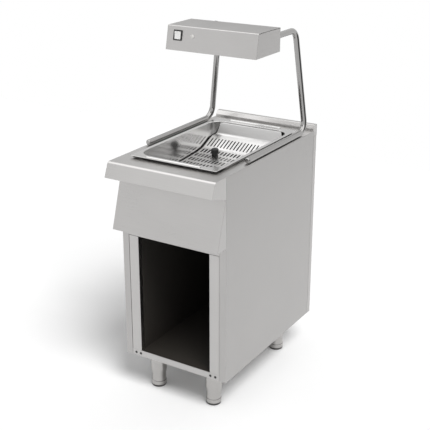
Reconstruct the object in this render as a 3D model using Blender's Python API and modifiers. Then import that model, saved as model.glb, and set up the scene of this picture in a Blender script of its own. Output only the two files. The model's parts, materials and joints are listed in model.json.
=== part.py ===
"""Free-standing chip warmer: an open cupboard on four adjustable feet, a worktop with a
removable pan and perforated insert, and a heat lamp on two bent tubes.

Metres, +Z up. The origin is on the floor under the middle of the cabinet, -Y is the front.
"""
import math

import bmesh
import bpy
from mathutils import Matrix, Vector

# Overall
width = 0.400
depth = 0.700
worktop_height = 0.846
clearance = 0.0003
overrun = 0.010
weld_inset = 0.0001

# Sheet thicknesses
worktop_sheet = 0.0015
panel_sheet = 0.0012
liner_sheet = 0.0010
pan_sheet = 0.0012
lamp_sheet = 0.0010

# Worktop
front_setback = 0.083
lip_height = 0.049
lip_top_setback = 0.020
lip_underside_drop = 0.025
lip_edge_radius = 0.004
ledge_rise = 0.020
ledge_depth = 0.035
rear_skirt = 0.040
drip_collar_height = 0.006
cutout_play = 0.0015

# Cabinet
cabinet_bottom = 0.133
base_height = 0.023
side_flange = 0.025
flange_inset = 0.0006
rear_return = 0.022
rear_recess = 0.015
rear_land = 0.015
stile_width = 0.0375
opening_top_gap = 0.0305
rail_return = 0.018
base_hem = 0.012
top_rail_height = 0.058
liner_setback = 0.051
cross_member_height = 0.050
cross_member_depth = 0.020
rear_member_setback = 0.045

# Fascia
fascia_drop = 0.0735
fascia_height = 0.1615
fascia_overhang = 0.052
fascia_slope_share = 0.305

# Plugs in the unused door fixing holes
plug_radius = 0.0038
plug_flange_radius = 0.0046
plug_head = 0.0008
plug_stem = 0.006
plug_inner_setback = 0.0035
plug_outer_setback = 0.015

# Legs and feet
leg_side_setback = 0.0866
front_leg_setback = 0.066
rear_leg_setback = 0.102
leg_radius = 0.025
leg_wall = 0.0015
leg_cap = 0.003
leg_collar_radius = 0.0285
leg_collar_height = 0.065
leg_taper_height = 0.020
leg_insert_height = 0.030
leg_stud_radius = 0.008
leg_stud_height = 0.016
leg_nut_radius = 0.0135
leg_nut_height = 0.008
foot_height = 0.022
foot_radius = 0.0262
foot_edge = 0.0012
sole_height = 0.008
sole_inset = 0.0007
sole_toe = 0.004
spindle_radius = 0.006
spindle_length = 0.078
spindle_play = 0.0005
bearer_width = 0.074
bearer_end_setback = 0.007

# Pan and insert
pan_side_margin = 0.0375
pan_end_margin = 0.085
pan_depth = 0.150
pan_rim_height = 0.010
pan_side_rim = 0.0125
pan_end_rim = 0.0265
pan_corner_radius = 0.050
pan_rim_radius = 0.008
insert_side_play = 0.002
insert_top_drop = 0.004
insert_front_play = 0.0035
insert_leg_setback = 0.053
insert_rear_foot_width = 0.024
insert_corner_cut = 0.046
insert_rear_lean = 0.030
insert_front_drop = 0.109
ramp_top_setback = 0.0405
ramp_top_drop = 0.043
ramp_foot_setback = 0.0725
ramp_foot_drop = 0.072
ramp_radius = 0.012
knee_setback = 0.1065
knee_drop = 0.0825
slot_width = 0.0046
slot_pitch = 0.0108
slot_side_margin = 0.023
slot_row_pitch = 0.0575
slot_length = 0.030
slot_end_margin = 0.040
ramp_slot_length = 0.027
knob_from_side = 0.0825
knob_from_knee = 0.0355
knob_radius = 0.0135
knob_height = 0.028
knob_neck_radius = 0.008
knob_neck_height = 0.006
knob_crown_share = 0.80
knob_lift = 0.0008

# Lamp stand
tube_radius = 0.010
tube_wall = 0.0015
tube_side_setback = 0.011
tube_rear_setback = 0.074
tube_run_length = 0.398
tube_lean_in = 0.0405
tube_lean_forward = 0.014
tube_bend_radius = 0.040
tube_top_bend_radius = 0.032
tube_in_lamp = 0.024
end_plug_length = 0.012
end_plug_dome = 0.004
end_plug_dome_share = 0.8
stud_radius = 0.004
stud_length = 0.030
stud_front_setback = 0.042
stud_rear_setback = 0.146
stud_nut_radius = 0.0075
stud_nut_height = 0.0065
stud_play = 0.0005
backing_sheet = 0.0025
backing_reach = 0.010
backing_end = 0.020
collar_radius = 0.0165
collar_length = 0.010

# Heat lamp
lamp_end_margin = 0.0205
lamp_height = 0.078
lamp_depth = 0.158
lamp_clear_height = 0.310
lamp_reach = 0.146
lamp_front_tilt = 0.0164
lamp_edge_radius = 0.002
lamp_hem = 0.008
tube_entry_height = 0.046
reflector_end_setback = 0.035
reflector_setback = 0.016
reflector_flat = 0.060
reflector_rise = 0.028
reflector_lift = 0.0065
reflector_tab_sheet = 0.0008
heater_radius = 0.006
heater_end_setback = 0.022
heater_spacing = 0.036
heater_drop = 0.016
holder_length = 0.012
holder_width = 0.060
holder_height = 0.024
guard_wire_radius = 0.0015
guard_drop = 0.0024
guard_bars = 5
guard_end_setback = 0.019
guard_cross_share = 0.86
guard_bar_spacing = 0.022

# Switch and pilot light
switch_from_end = 0.0425
pilot_from_switch = 0.055
switch_height_on_face = 0.048
bezel_width = 0.032
bezel_height = 0.034
bezel_thickness = 0.003
rocker_width = 0.0235
rocker_height = 0.0255
rocker_play = 0.0009
rocker_root_share = 0.62
rocker_dish_share = 0.5
rocker_pivot_depth = 0.001
rocker_depth = 0.009
rocker_stand = 0.0035
rocker_tilt = math.radians(7.0)
switch_body_width = 0.0255
switch_body_height = 0.0285
switch_body_depth = 0.020
pilot_radius = 0.0055
pilot_bezel_radius = 0.0068
pilot_stand = 0.0025
pilot_body_radius = 0.0048
pilot_body_depth = 0.018
pilot_crown_share = 0.6

# Wiring and supply
terminal_from_end = 0.109
terminal_length = 0.036
terminal_width = 0.016
terminal_height = 0.014
supply_box_from_side = 0.095
supply_box_width = 0.090
supply_box_depth = 0.060
supply_box_height = 0.080
supply_box_drop = 0.206
supply_box_sheet = 0.0012
cover_sheet = 0.0012
gland_radius = 0.0105
gland_head_radius = 0.0130
gland_head_length = 0.012
gland_bore = 0.0045
gland_nut_length = 0.005
gland_hex_share = 0.6
cable_radius = 0.0030
cable_hole_radius = 0.0050
cable_drop_setback = 0.071
cable_bend = 0.012
cable_drop_bend = 0.005
cable_below = 0.030
bonding_from_side = 0.080
bonding_rise = 0.047
bonding_stud_radius = 0.003
bonding_nut_radius = 0.0060
bonding_nut_length = 0.005
bonding_stud_length = 0.013

# Worked-out places of the cabinet
half_width = width / 2
front_y = -depth / 2
back_y = depth / 2
frame_y = front_y + front_setback
side_back_y = back_y - rear_return
side_flange_x = half_width - side_flange
half_opening = side_flange_x - stile_width
fascia_top = worktop_height - fascia_drop
fascia_bottom = fascia_top - fascia_height
opening_top = fascia_bottom - opening_top_gap
opening_bottom = cabinet_bottom + base_height
under_worktop = worktop_height - worktop_sheet
side_top = under_worktop - clearance
liner_back_y = back_y - liner_setback
rear_panel_top = worktop_height + ledge_rise - rear_skirt - clearance
recess_face_y = back_y - rear_recess
recess_inside_y = recess_face_y - panel_sheet - clearance
plug_z = (cabinet_bottom + opening_bottom) / 2
leg_x = half_width - leg_side_setback
front_leg_y = frame_y + front_leg_setback
rear_leg_y = back_y - rear_leg_setback
bearer_half_length = side_flange_x - bearer_end_setback

# Worked-out places of the pan and insert
pan_width = width - 2 * pan_side_margin
pan_length = depth - 2 * pan_end_margin
pan_inner_width = pan_width - 2 * pan_side_rim
pan_inner_length = pan_length - 2 * pan_end_rim
rim_top = worktop_height + pan_rim_height
pan_floor_z = rim_top - pan_depth
pan_back_y = pan_inner_length / 2
insert_half_width = pan_inner_width / 2 - insert_side_play
insert_front_y = -pan_back_y + insert_front_play
insert_front_z = rim_top - insert_front_drop
ramp_top = (pan_back_y - ramp_top_setback, rim_top - ramp_top_drop)
ramp_foot = (pan_back_y - ramp_foot_setback, rim_top - ramp_foot_drop)
knee = (pan_back_y - knee_setback, rim_top - knee_drop)
slot_columns = int((insert_half_width - slot_side_margin) * 2 / slot_pitch)
slot_rows = int((ramp_foot[0] - insert_front_y - slot_end_margin) / slot_row_pitch)
knob_x = knob_from_side - insert_half_width
knob_y = knee[0] - knob_from_knee

# Worked-out places of the stand and lamp
tube_z = worktop_height + tube_radius + clearance
tube_run_x = half_width - tube_side_setback
tube_foot_y = back_y - tube_rear_setback
tube_front_y = tube_foot_y - tube_run_length
tube_top_x = tube_run_x - tube_lean_in
tube_top_y = tube_foot_y - tube_lean_forward
stud_front_y = tube_front_y + stud_front_setback
stud_rear_y = tube_foot_y - stud_rear_setback
lamp_half_width = tube_top_x + lamp_end_margin
lamp_bottom = worktop_height + lamp_clear_height
lamp_top = lamp_bottom + lamp_height
lamp_back_y = tube_top_y - lamp_reach
lamp_front_y = lamp_back_y - lamp_depth
tube_entry_z = lamp_bottom + tube_entry_height
reflector_half_length = lamp_half_width - reflector_end_setback
reflector_front_y = lamp_front_y + reflector_setback
reflector_rear_y = lamp_back_y - reflector_setback
reflector_low = lamp_bottom + reflector_lift
reflector_top = reflector_low + reflector_rise
lamp_middle_y = (reflector_front_y + reflector_rear_y) / 2
heater_half_length = reflector_half_length - heater_end_setback
guard_half_length = lamp_half_width - guard_end_setback
switch_x = -lamp_half_width + switch_from_end
pilot_x = switch_x + pilot_from_switch

# Worked-out places of the wiring
terminal_x = lamp_half_width - terminal_from_end
terminal_z = reflector_top + clearance
supply_box_x = half_width - supply_box_from_side
supply_box_z = worktop_height - supply_box_drop
supply_terminal_y = recess_inside_y - supply_box_depth / 2
supply_terminal_z = supply_box_z - supply_box_height / 2 + supply_box_sheet + clearance
cable_drop_y = tube_foot_y - cable_drop_setback
bonding_x = -half_width + bonding_from_side
bonding_z = cabinet_bottom + bonding_rise


def clear_scene():
    for obj in list(bpy.data.objects):
        bpy.data.objects.remove(obj, do_unlink=True)


clear_scene()
model = bpy.data.collections.new("chip_warmer")
cutters = bpy.data.collections.new("cutters")
bpy.context.scene.collection.children.link(model)
bpy.context.scene.collection.children.link(cutters)


# Materials
def make_material(name, colour, roughness, metallic):
    material = bpy.data.materials.new(name)
    material.use_nodes = True
    shader = material.node_tree.nodes["Principled BSDF"]
    shader.inputs["Base Color"].default_value = (*colour, 1.0)
    shader.inputs["Roughness"].default_value = roughness
    shader.inputs["Metallic"].default_value = metallic
    return material


brushed_steel = make_material("brushed_steel", (0.56, 0.56, 0.56), 0.34, 1.0)
polished_steel = make_material("polished_steel", (0.68, 0.68, 0.68), 0.16, 1.0)
plated_steel = make_material("plated_steel", (0.50, 0.50, 0.48), 0.40, 1.0)
chrome = make_material("chrome", (0.80, 0.80, 0.80), 0.08, 1.0)
aluminium = make_material("aluminium", (0.75, 0.75, 0.75), 0.20, 1.0)
dark_lining = make_material("dark_lining", (0.012, 0.011, 0.010), 0.60, 0.0)
black_plastic = make_material("black_plastic", (0.02, 0.02, 0.02), 0.45, 0.0)
white_plastic = make_material("white_plastic", (0.85, 0.85, 0.83), 0.35, 0.0)
quartz = make_material("quartz", (0.80, 0.62, 0.50), 0.08, 0.0)
pilot_glass = make_material("pilot_glass", (0.80, 0.80, 0.76), 0.12, 0.0)
ceramic = make_material("ceramic", (0.78, 0.76, 0.70), 0.55, 0.0)
brass = make_material("brass", (0.72, 0.55, 0.25), 0.35, 1.0)
cable_sheath = make_material("cable_sheath", (0.60, 0.58, 0.54), 0.60, 0.0)


# Building blocks
def finish(obj, name, material):
    """Name an object, give it its material and put it in the model."""
    obj.name = name
    obj.data.name = name
    obj.data.materials.clear()
    obj.data.materials.append(material)
    move_to(obj, model)
    return obj


def move_to(obj, collection):
    for owner in list(obj.users_collection):
        owner.objects.unlink(obj)
    collection.objects.link(obj)


def new_object(name, mesh):
    obj = bpy.data.objects.new(name, mesh)
    cutters.objects.link(obj)
    return obj


def helper(obj):
    """Keep an object as a cutter or a guide only."""
    obj.hide_render = True
    obj.display_type = "WIRE"
    move_to(obj, cutters)
    return obj


def combine(obj, other, operation):
    modifier = obj.modifiers.new(operation.lower(), "BOOLEAN")
    modifier.operation = operation
    modifier.solver = "EXACT"
    modifier.object = helper(other)
    return obj


def add(obj, *others):
    for other in others:
        combine(obj, other, "UNION")
    return obj


def cut(obj, *others):
    for other in others:
        combine(obj, other, "DIFFERENCE")
    return obj


def box(low, high):
    low, high = Vector(low), Vector(high)
    bpy.ops.mesh.primitive_cube_add(size=1.0, location=(low + high) / 2)
    obj = bpy.context.active_object
    obj.scale = high - low
    bpy.ops.object.transform_apply(location=False, rotation=False, scale=True)
    return obj


def rod(start, end, radius, sides=16):
    """A straight round bar from one point to another."""
    start, end = Vector(start), Vector(end)
    mesh = bpy.data.meshes.new("rod")
    shape = bmesh.new()
    bmesh.ops.create_cone(shape, cap_ends=True, segments=sides, radius1=radius, radius2=radius,
                          depth=(end - start).length)
    shape.to_mesh(mesh)
    shape.free()
    obj = new_object("rod", mesh)
    obj.location = (start + end) / 2
    obj.rotation_euler = (end - start).to_track_quat("Z", "Y").to_euler()
    return obj


def solid_from_curve(curve):
    """Turn a curve into one closed mesh, with its caps welded on."""
    obj = bpy.data.objects.new("curve", curve)
    cutters.objects.link(obj)
    bpy.context.view_layer.update()
    evaluated = obj.evaluated_get(bpy.context.evaluated_depsgraph_get())
    mesh = bpy.data.meshes.new_from_object(evaluated)
    place = obj.matrix_world.copy()
    bpy.data.objects.remove(obj, do_unlink=True)
    shape = bmesh.new()
    shape.from_mesh(mesh)
    bmesh.ops.remove_doubles(shape, verts=shape.verts, dist=clearance / 10)
    bmesh.ops.recalc_face_normals(shape, faces=shape.faces)
    shape.to_mesh(mesh)
    shape.free()
    solid = new_object("solid", mesh)
    solid.matrix_world = place
    return solid


AXIS_FRAMES = {
    "X": Matrix(((0, 0, 1), (1, 0, 0), (0, 1, 0))),
    "Z": Matrix(((1, 0, 0), (0, 1, 0), (0, 0, 1))),
}


def extruded(outlines, axis, start, end):
    """Extrude flat outlines along X, where they hold (y, z) pairs, or along Z, where they
    hold (x, y) pairs."""
    curve = bpy.data.curves.new("outline", "CURVE")
    curve.dimensions = "2D"
    curve.fill_mode = "BOTH"
    curve.extrude = (end - start) / 2
    for outline in outlines:
        spline = curve.splines.new("POLY")
        spline.points.add(len(outline) - 1)
        for point, (u, v) in zip(spline.points, outline):
            point.co = (u, v, 0.0, 1.0)
        spline.use_cyclic_u = True
    solid = solid_from_curve(curve)
    solid.data.transform(Matrix.Translation((0.0, 0.0, (start + end) / 2)))
    solid.data.transform(AXIS_FRAMES[axis].to_4x4())
    return solid


def rounded_path(points, radii, steps=6):
    """A polyline whose inner corners are arcs of the given radii."""
    points = [Vector(point) for point in points]
    path = [points[0]]
    for before, corner, after, radius in zip(points, points[1:], points[2:], radii):
        if radius == 0:
            path.append(corner)
            continue
        to_before = (before - corner).normalized()
        to_after = (after - corner).normalized()
        half_angle = to_before.angle(to_after) / 2
        centre = corner + (to_before + to_after).normalized() * (radius / math.sin(half_angle))
        first = corner + to_before * (radius / math.tan(half_angle)) - centre
        turn = math.pi - 2 * half_angle
        tangent = -to_before
        for step in range(steps + 1):
            angle = turn * step / steps
            path.append(centre + first * math.cos(angle) + tangent * radius * math.sin(angle))
    path.append(points[-1])
    return path


def folded(points, thickness, radii=None):
    """The closed outline of a bent sheet whose outer face follows the points. The sheet
    lies to the left of the direction of travel."""
    if radii is None:
        radii = [0] * (len(points) - 2)
    outer = rounded_path([(u, v, 0.0) for u, v in points], radii, steps=2)
    inner = []
    for index, point in enumerate(outer):
        directions = []
        if index > 0:
            directions.append((point - outer[index - 1]).normalized())
        if index < len(outer) - 1:
            directions.append((outer[index + 1] - point).normalized())
        normals = [Vector((-direction.y, direction.x, 0.0)) for direction in directions]
        normal = sum(normals, Vector((0.0, 0.0, 0.0))).normalized()
        inner.append(point + normal * (thickness / normal.dot(normals[0])))
    return [(point.x, point.y) for point in outer + inner[::-1]]


def rounded_rectangle(length_x, length_y, radius, steps=6):
    outline = []
    corners = ((1, 1, 0.0), (-1, 1, 0.5), (-1, -1, 1.0), (1, -1, 1.5))
    for side_x, side_y, start_share in corners:
        centre_x = side_x * (length_x / 2 - radius)
        centre_y = side_y * (length_y / 2 - radius)
        for step in range(steps + 1):
            angle = math.pi * (start_share + 0.5 * step / steps)
            outline.append((centre_x + radius * math.cos(angle), centre_y + radius * math.sin(angle)))
    return outline


def rectangle(low, high):
    return [(low[0], low[1]), (high[0], low[1]), (high[0], high[1]), (low[0], high[1])]


def turned(profile, steps=16):
    """Spin a profile of (radius, height) pairs, listed from top to bottom, about Z."""
    mesh = bpy.data.meshes.new("profile")
    shape = bmesh.new()
    points = [shape.verts.new((radius, 0.0, height)) for radius, height in profile]
    for first, second in zip(points, points[1:]):
        shape.edges.new((first, second))
    shape.to_mesh(mesh)
    shape.free()
    obj = new_object("turned", mesh)
    screw = obj.modifiers.new("turn", "SCREW")
    screw.steps = steps
    screw.render_steps = steps
    screw.use_merge_vertices = True
    screw.merge_threshold = clearance / 10
    return obj


def round_tube(path, radius, resolution=4):
    curve = bpy.data.curves.new("tube", "CURVE")
    curve.dimensions = "3D"
    curve.bevel_depth = radius
    curve.bevel_resolution = resolution
    curve.use_fill_caps = True
    spline = curve.splines.new("POLY")
    spline.points.add(len(path) - 1)
    for point, place in zip(spline.points, path):
        point.co = (*place, 1.0)
    return solid_from_curve(curve)


def smooth(obj):
    obj.data.shade_smooth()
    obj.data.set_sharp_from_angle(angle=math.radians(35))
    return obj


def mirrored(point, side):
    return (side * point[0], point[1], point[2])


# Cabinet
def build_side_panel(name, side):
    """Outer side with a front flange beside the frame and flanges above and below."""
    flange_x = side_flange_x
    corner = [(flange_x, frame_y), (half_width, frame_y), (half_width, side_back_y - clearance),
              (flange_x, side_back_y - clearance)]
    outline = [(side * x, y) for x, y in folded(corner, panel_sheet)]
    panel = extruded([outline], "Z", cabinet_bottom, side_top)
    inner_x = half_width - panel_sheet / 2
    for low_z in (cabinet_bottom, side_top - panel_sheet):
        low = (min(side * flange_x, side * inner_x), frame_y + panel_sheet / 2, low_z)
        high = (max(side * flange_x, side * inner_x), side_back_y - clearance - panel_sheet / 2,
                low_z + panel_sheet)
        add(panel, box(low, high))
    for stud_y in (stud_front_y, stud_rear_y):
        cut(panel, rod((side * tube_run_x, stud_y, side_top - overrun),
                       (side * tube_run_x, stud_y, side_top + overrun), stud_radius + stud_play))
    if side > 0:
        cut(panel, rod((tube_run_x, cable_drop_y, side_top - overrun),
                       (tube_run_x, cable_drop_y, side_top + overrun), cable_hole_radius))
    return finish(panel, name, brushed_steel)


def build_rear_panel():
    """Back with returns round both corners and a shallow recess for the cable gland."""
    land_x = half_width - rear_land
    points = [(half_width, side_back_y), (half_width, back_y), (land_x, back_y), (land_x, recess_face_y),
              (-land_x, recess_face_y), (-land_x, back_y), (-half_width, back_y), (-half_width, side_back_y)]
    panel = extruded([folded(points, panel_sheet)], "Z", cabinet_bottom, rear_panel_top)
    low_y, high_y = recess_face_y - overrun, recess_face_y + overrun
    cut(panel, rod((supply_box_x, low_y, supply_box_z), (supply_box_x, high_y, supply_box_z),
                   gland_radius + clearance))
    cut(panel, rod((bonding_x, low_y, bonding_z), (bonding_x, high_y, bonding_z),
                   bonding_stud_radius + clearance))
    return finish(panel, "rear_panel", brushed_steel)


def build_base_panel():
    """Bottom of the cupboard; its front return is the rail under the opening."""
    rear_y = side_back_y - clearance - panel_sheet - clearance
    points = [(frame_y + base_hem, cabinet_bottom), (frame_y, cabinet_bottom), (frame_y, opening_bottom),
              (rear_y, opening_bottom), (rear_y, cabinet_bottom), (rear_y - base_hem, cabinet_bottom)]
    outline = folded([(y, z) for y, z in reversed(points)], panel_sheet)
    base = extruded([outline], "X", -side_flange_x + flange_inset, side_flange_x - flange_inset)
    for plug_x in PLUG_PLACES.values():
        cut(base, rod((plug_x, frame_y - overrun, plug_z), (plug_x, frame_y + overrun, plug_z),
                      plug_radius + clearance))
    return finish(base, "base_panel", brushed_steel)


def build_stile(name, side):
    """Upright beside the opening, a channel open to the inside of the wall."""
    inner, outer = half_opening, side_flange_x - flange_inset
    points = [(inner, frame_y + rail_return), (inner, frame_y), (outer, frame_y),
              (outer, frame_y + rail_return)]
    outline = [(side * x, y) for x, y in folded(points, panel_sheet)]
    stile = extruded([outline], "Z", opening_bottom + clearance, opening_top - clearance)
    return finish(stile, name, brushed_steel)


def build_top_rail():
    high = opening_top + top_rail_height
    points = [(frame_y + rail_return, high), (frame_y, high), (frame_y, opening_top),
              (frame_y + rail_return, opening_top)]
    outer = side_flange_x - flange_inset
    rail = extruded([folded(points, panel_sheet)], "X", -outer, outer)
    return finish(rail, "top_rail", brushed_steel)


PLUG_PLACES = {
    "hinge_plug_left_outer": -side_flange_x + plug_outer_setback,
    "hinge_plug_left_inner": -half_opening - plug_inner_setback,
    "hinge_plug_right_inner": half_opening + plug_inner_setback,
    "hinge_plug_right_outer": side_flange_x - plug_outer_setback,
}


def build_plugs():
    """Snap-in plugs in the holes that a door would use."""
    for name, plug_x in PLUG_PLACES.items():
        profile = [(0.0, plug_head), (plug_radius, plug_head), (plug_flange_radius, 0.0)]
        profile += [(plug_radius, 0.0), (plug_radius, -plug_stem), (0.0, -plug_stem)]
        plug = turned(profile, steps=12)
        plug.rotation_euler = (math.pi / 2, 0.0, 0.0)
        plug.location = (plug_x, frame_y - clearance, plug_z)
        smooth_modifiers(finish(plug, name, black_plastic))


def build_liners():
    """Dark lining sheets of the open compartment."""
    front = frame_y + rail_return + clearance
    floor_top = opening_bottom + clearance + liner_sheet
    ceiling = opening_top + clearance
    for name, side in (("left_liner", -1), ("right_liner", 1)):
        xs = sorted((side * half_opening, side * (half_opening + liner_sheet)))
        liner = box((xs[0], front, floor_top - liner_sheet), (xs[1], liner_back_y, ceiling - clearance))
        finish(liner, name, dark_lining)
    inside = half_opening - clearance
    finish(box((-inside, liner_back_y - liner_sheet, floor_top + clearance),
               (inside, liner_back_y, ceiling - clearance)), "rear_liner", dark_lining)
    finish(box((-inside, frame_y + panel_sheet + clearance, floor_top - liner_sheet),
               (inside, liner_back_y, floor_top)), "compartment_floor", dark_lining)
    finish(box((-half_opening - liner_sheet, front, ceiling),
               (half_opening + liner_sheet, liner_back_y, ceiling + liner_sheet)),
           "compartment_ceiling", dark_lining)


def build_fascia():
    """Slanted apron under the lip, with cheeks and a bottom return."""
    low_y = frame_y - fascia_overhang
    high_y = low_y + (fascia_top - fascia_bottom) * fascia_slope_share
    rear_y = frame_y - clearance
    points = [(rear_y, fascia_bottom), (low_y, fascia_bottom), (high_y, fascia_top)]
    outline = folded(points[::-1], panel_sheet)
    fascia = extruded([outline], "X", -half_width, half_width)
    inset = panel_sheet / 2
    cheek = [(rear_y, fascia_bottom + inset), (low_y + inset, fascia_bottom + inset),
             (high_y + inset, fascia_top - inset), (rear_y, fascia_top - inset)]
    for side in (-1, 1):
        xs = sorted((side * (half_width - weld_inset), side * (half_width - panel_sheet)))
        add(fascia, extruded([cheek], "X", xs[0], xs[1]))
    return finish(fascia, "front_fascia", brushed_steel)


# Worktop and what carries it
def build_worktop():
    """Top sheet with the slanted front lip, the raised rear ledge and the pan cut-out."""
    lip_y = front_y + lip_top_setback
    lip_bottom = worktop_height - lip_height
    ledge_y = back_y - ledge_depth
    ledge_top = worktop_height + ledge_rise
    fascia_face_y = frame_y - fascia_overhang + (fascia_top - fascia_bottom) * fascia_slope_share
    return_share = (fascia_face_y - front_y - clearance) / front_setback
    return_y = front_y + front_setback * return_share
    return_z = lip_bottom - lip_underside_drop * return_share
    points = [(return_y, return_z), (front_y, lip_bottom), (lip_y, worktop_height),
              (ledge_y, worktop_height), (ledge_y, ledge_top), (back_y, ledge_top),
              (back_y, ledge_top - rear_skirt)]
    radii = [0, lip_edge_radius, 0, lip_edge_radius, lip_edge_radius]
    outline = folded(points[::-1], worktop_sheet, radii[::-1])
    top = extruded([outline], "X", -half_width, half_width)
    inset = worktop_sheet / 2
    high_z = worktop_height - inset
    cheek = [(front_y + inset, lip_bottom), (frame_y - clearance, lip_bottom - lip_underside_drop),
             (frame_y - clearance, high_z), (lip_y + lip_edge_radius, high_z)]
    ledge_end = rectangle((ledge_y + inset, worktop_height - inset), (back_y - inset, ledge_top - inset))
    for side in (-1, 1):
        xs = sorted((side * (half_width - weld_inset), side * (half_width - worktop_sheet)))
        add(top, extruded([cheek], "X", xs[0], xs[1]))
        add(top, extruded([ledge_end], "X", xs[0], xs[1]))
    hole_play = pan_sheet + cutout_play
    collar_play = hole_play + worktop_sheet
    hole = rounded_rectangle(pan_inner_width + 2 * hole_play, pan_inner_length + 2 * hole_play,
                             pan_corner_radius + hole_play)
    collar = rounded_rectangle(pan_inner_width + 2 * collar_play, pan_inner_length + 2 * collar_play,
                               pan_corner_radius + collar_play)
    add(top, extruded([collar], "Z", under_worktop, worktop_height + drip_collar_height))
    cut(top, extruded([hole], "Z", under_worktop - overrun, worktop_height + overrun))
    for side in (-1, 1):
        for stud_y in (stud_front_y, stud_rear_y):
            cut(top, rod((side * tube_run_x, stud_y, under_worktop - overrun),
                         (side * tube_run_x, stud_y, worktop_height + overrun), stud_radius + stud_play))
    cut(top, rod((tube_run_x, cable_drop_y, under_worktop - overrun),
                 (tube_run_x, cable_drop_y, worktop_height + overrun), cable_hole_radius))
    return finish(top, "worktop", brushed_steel)


def build_cross_member(name, member_front_y):
    """Channel across the cabinet that carries the worktop."""
    low, high = side_top - cross_member_height, side_top
    rear = member_front_y + cross_member_depth
    points = [(rear, low), (member_front_y, low), (member_front_y, high), (rear, high)]
    half_length = side_flange_x - flange_inset
    member = extruded([folded(points[::-1], panel_sheet)], "X", -half_length, half_length)
    return finish(member, name, plated_steel)


# Legs and feet
LEG_PLACES = {
    "front_left": (-leg_x, front_leg_y),
    "front_right": (leg_x, front_leg_y),
    "rear_left": (-leg_x, rear_leg_y),
    "rear_right": (leg_x, rear_leg_y),
}


def build_bearer(name, middle_y):
    """Channel under the base panel with a weld nut for each of its two legs."""
    half = bearer_width / 2
    high = opening_bottom - panel_sheet - clearance
    points = [(middle_y - half, high), (middle_y - half, cabinet_bottom), (middle_y + half, cabinet_bottom),
              (middle_y + half, high)]
    bearer = extruded([folded(points, panel_sheet)], "X", -bearer_half_length, bearer_half_length)
    for side in (-1, 1):
        cut(bearer, rod((side * leg_x, middle_y, cabinet_bottom - overrun),
                        (side * leg_x, middle_y, cabinet_bottom + overrun), leg_stud_radius + clearance))
        nut_low = cabinet_bottom + panel_sheet / 2
        nut = rod((side * leg_x, middle_y, nut_low), (side * leg_x, middle_y, nut_low + leg_nut_height),
                  leg_nut_radius, sides=6)
        add(bearer, cut(nut, rod((side * leg_x, middle_y, cabinet_bottom - overrun),
                                 (side * leg_x, middle_y, nut_low + leg_nut_height + overrun),
                                 leg_stud_radius + clearance)))
    return finish(bearer, name, plated_steel)


def build_leg(name, place):
    """Tube under a wider socket, with a stud on top and a bored insert below for the spindle."""
    top = cabinet_bottom - clearance
    bottom = foot_height + clearance
    bore = spindle_radius + spindle_play
    hollow = leg_radius - leg_wall
    collar_bottom = top - leg_collar_height
    profile = [(0.0, top + leg_stud_height), (leg_stud_radius, top + leg_stud_height),
               (leg_stud_radius, top), (leg_collar_radius, top), (leg_collar_radius, collar_bottom),
               (leg_radius, collar_bottom - leg_taper_height), (leg_radius, bottom), (bore, bottom),
               (bore, bottom + leg_insert_height), (hollow, bottom + leg_insert_height),
               (hollow, top - leg_cap), (0.0, top - leg_cap)]
    leg = turned(profile)
    leg.location = (place[0], place[1], 0.0)
    return smooth_modifiers(finish(leg, name, brushed_steel))


def smooth_modifiers(obj):
    """Shade a turned piece smooth, apart from its real edges."""
    for modifier in obj.modifiers:
        if modifier.type == "SCREW":
            modifier.use_smooth_shade = True
    return obj


def build_foot(name, place):
    """Adjusting foot: a steel ring on a moulded sole, with its threaded spindle inside the leg."""
    sole_radius = foot_radius - sole_inset
    profile = [(0.0, foot_height + spindle_length), (spindle_radius, foot_height + spindle_length),
               (spindle_radius, foot_height), (foot_radius - foot_edge, foot_height),
               (foot_radius, foot_height - foot_edge), (foot_radius, sole_height),
               (sole_radius, sole_height)]
    for step in range(3):
        angle = math.pi / 4 * step
        profile.append((sole_radius - sole_toe * (1 - math.cos(angle)), sole_toe * (1 - math.sin(angle))))
    profile.append((0.0, 0.0))
    foot = turned(profile)
    foot.location = (place[0], place[1], 0.0)
    return smooth_modifiers(finish(foot, name, brushed_steel))


# Pan and insert
def build_pan():
    """Removable pan: walls, floor and a rim with a turned-down edge."""
    outer = rounded_rectangle(pan_inner_width + 2 * pan_sheet, pan_inner_length + 2 * pan_sheet,
                              pan_corner_radius + pan_sheet)
    inner = rounded_rectangle(pan_inner_width, pan_inner_length, pan_corner_radius)
    rim = rounded_rectangle(pan_width, pan_length, pan_rim_radius, steps=3)
    rim_inside = rounded_rectangle(pan_width - 2 * pan_sheet, pan_length - 2 * pan_sheet,
                                   pan_rim_radius - pan_sheet, steps=3)
    pan = extruded([rim], "Z", worktop_height + clearance, rim_top)
    cut(pan, extruded([rim_inside], "Z", worktop_height - overrun, rim_top - pan_sheet))
    add(pan, extruded([outer], "Z", pan_floor_z, rim_top - pan_sheet / 2))
    cut(pan, extruded([inner], "Z", pan_floor_z + pan_sheet, rim_top + overrun))
    return set_origin(finish(pan, "gn_pan", polished_steel), (0.0, 0.0, rim_top))


def set_origin(obj, place):
    """Move an object's origin without moving its shape."""
    obj.data.transform(Matrix.Translation(-Vector(place)))
    obj.location = Vector(obj.location) + Vector(place)
    return obj


def insert_profile():
    """Fall line of the insert from its top rear edge to its front edge."""
    top = (ramp_top[0] + insert_rear_lean, rim_top - insert_top_drop)
    return [top, ramp_top, ramp_foot, knee, (insert_front_y, insert_front_z)]


def insert_surface_z(y):
    """Height of the insert's nearly flat front stretch."""
    share = (knee[0] - y) / (knee[0] - insert_front_y)
    return knee[1] + (insert_front_z - knee[1]) * share


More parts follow.
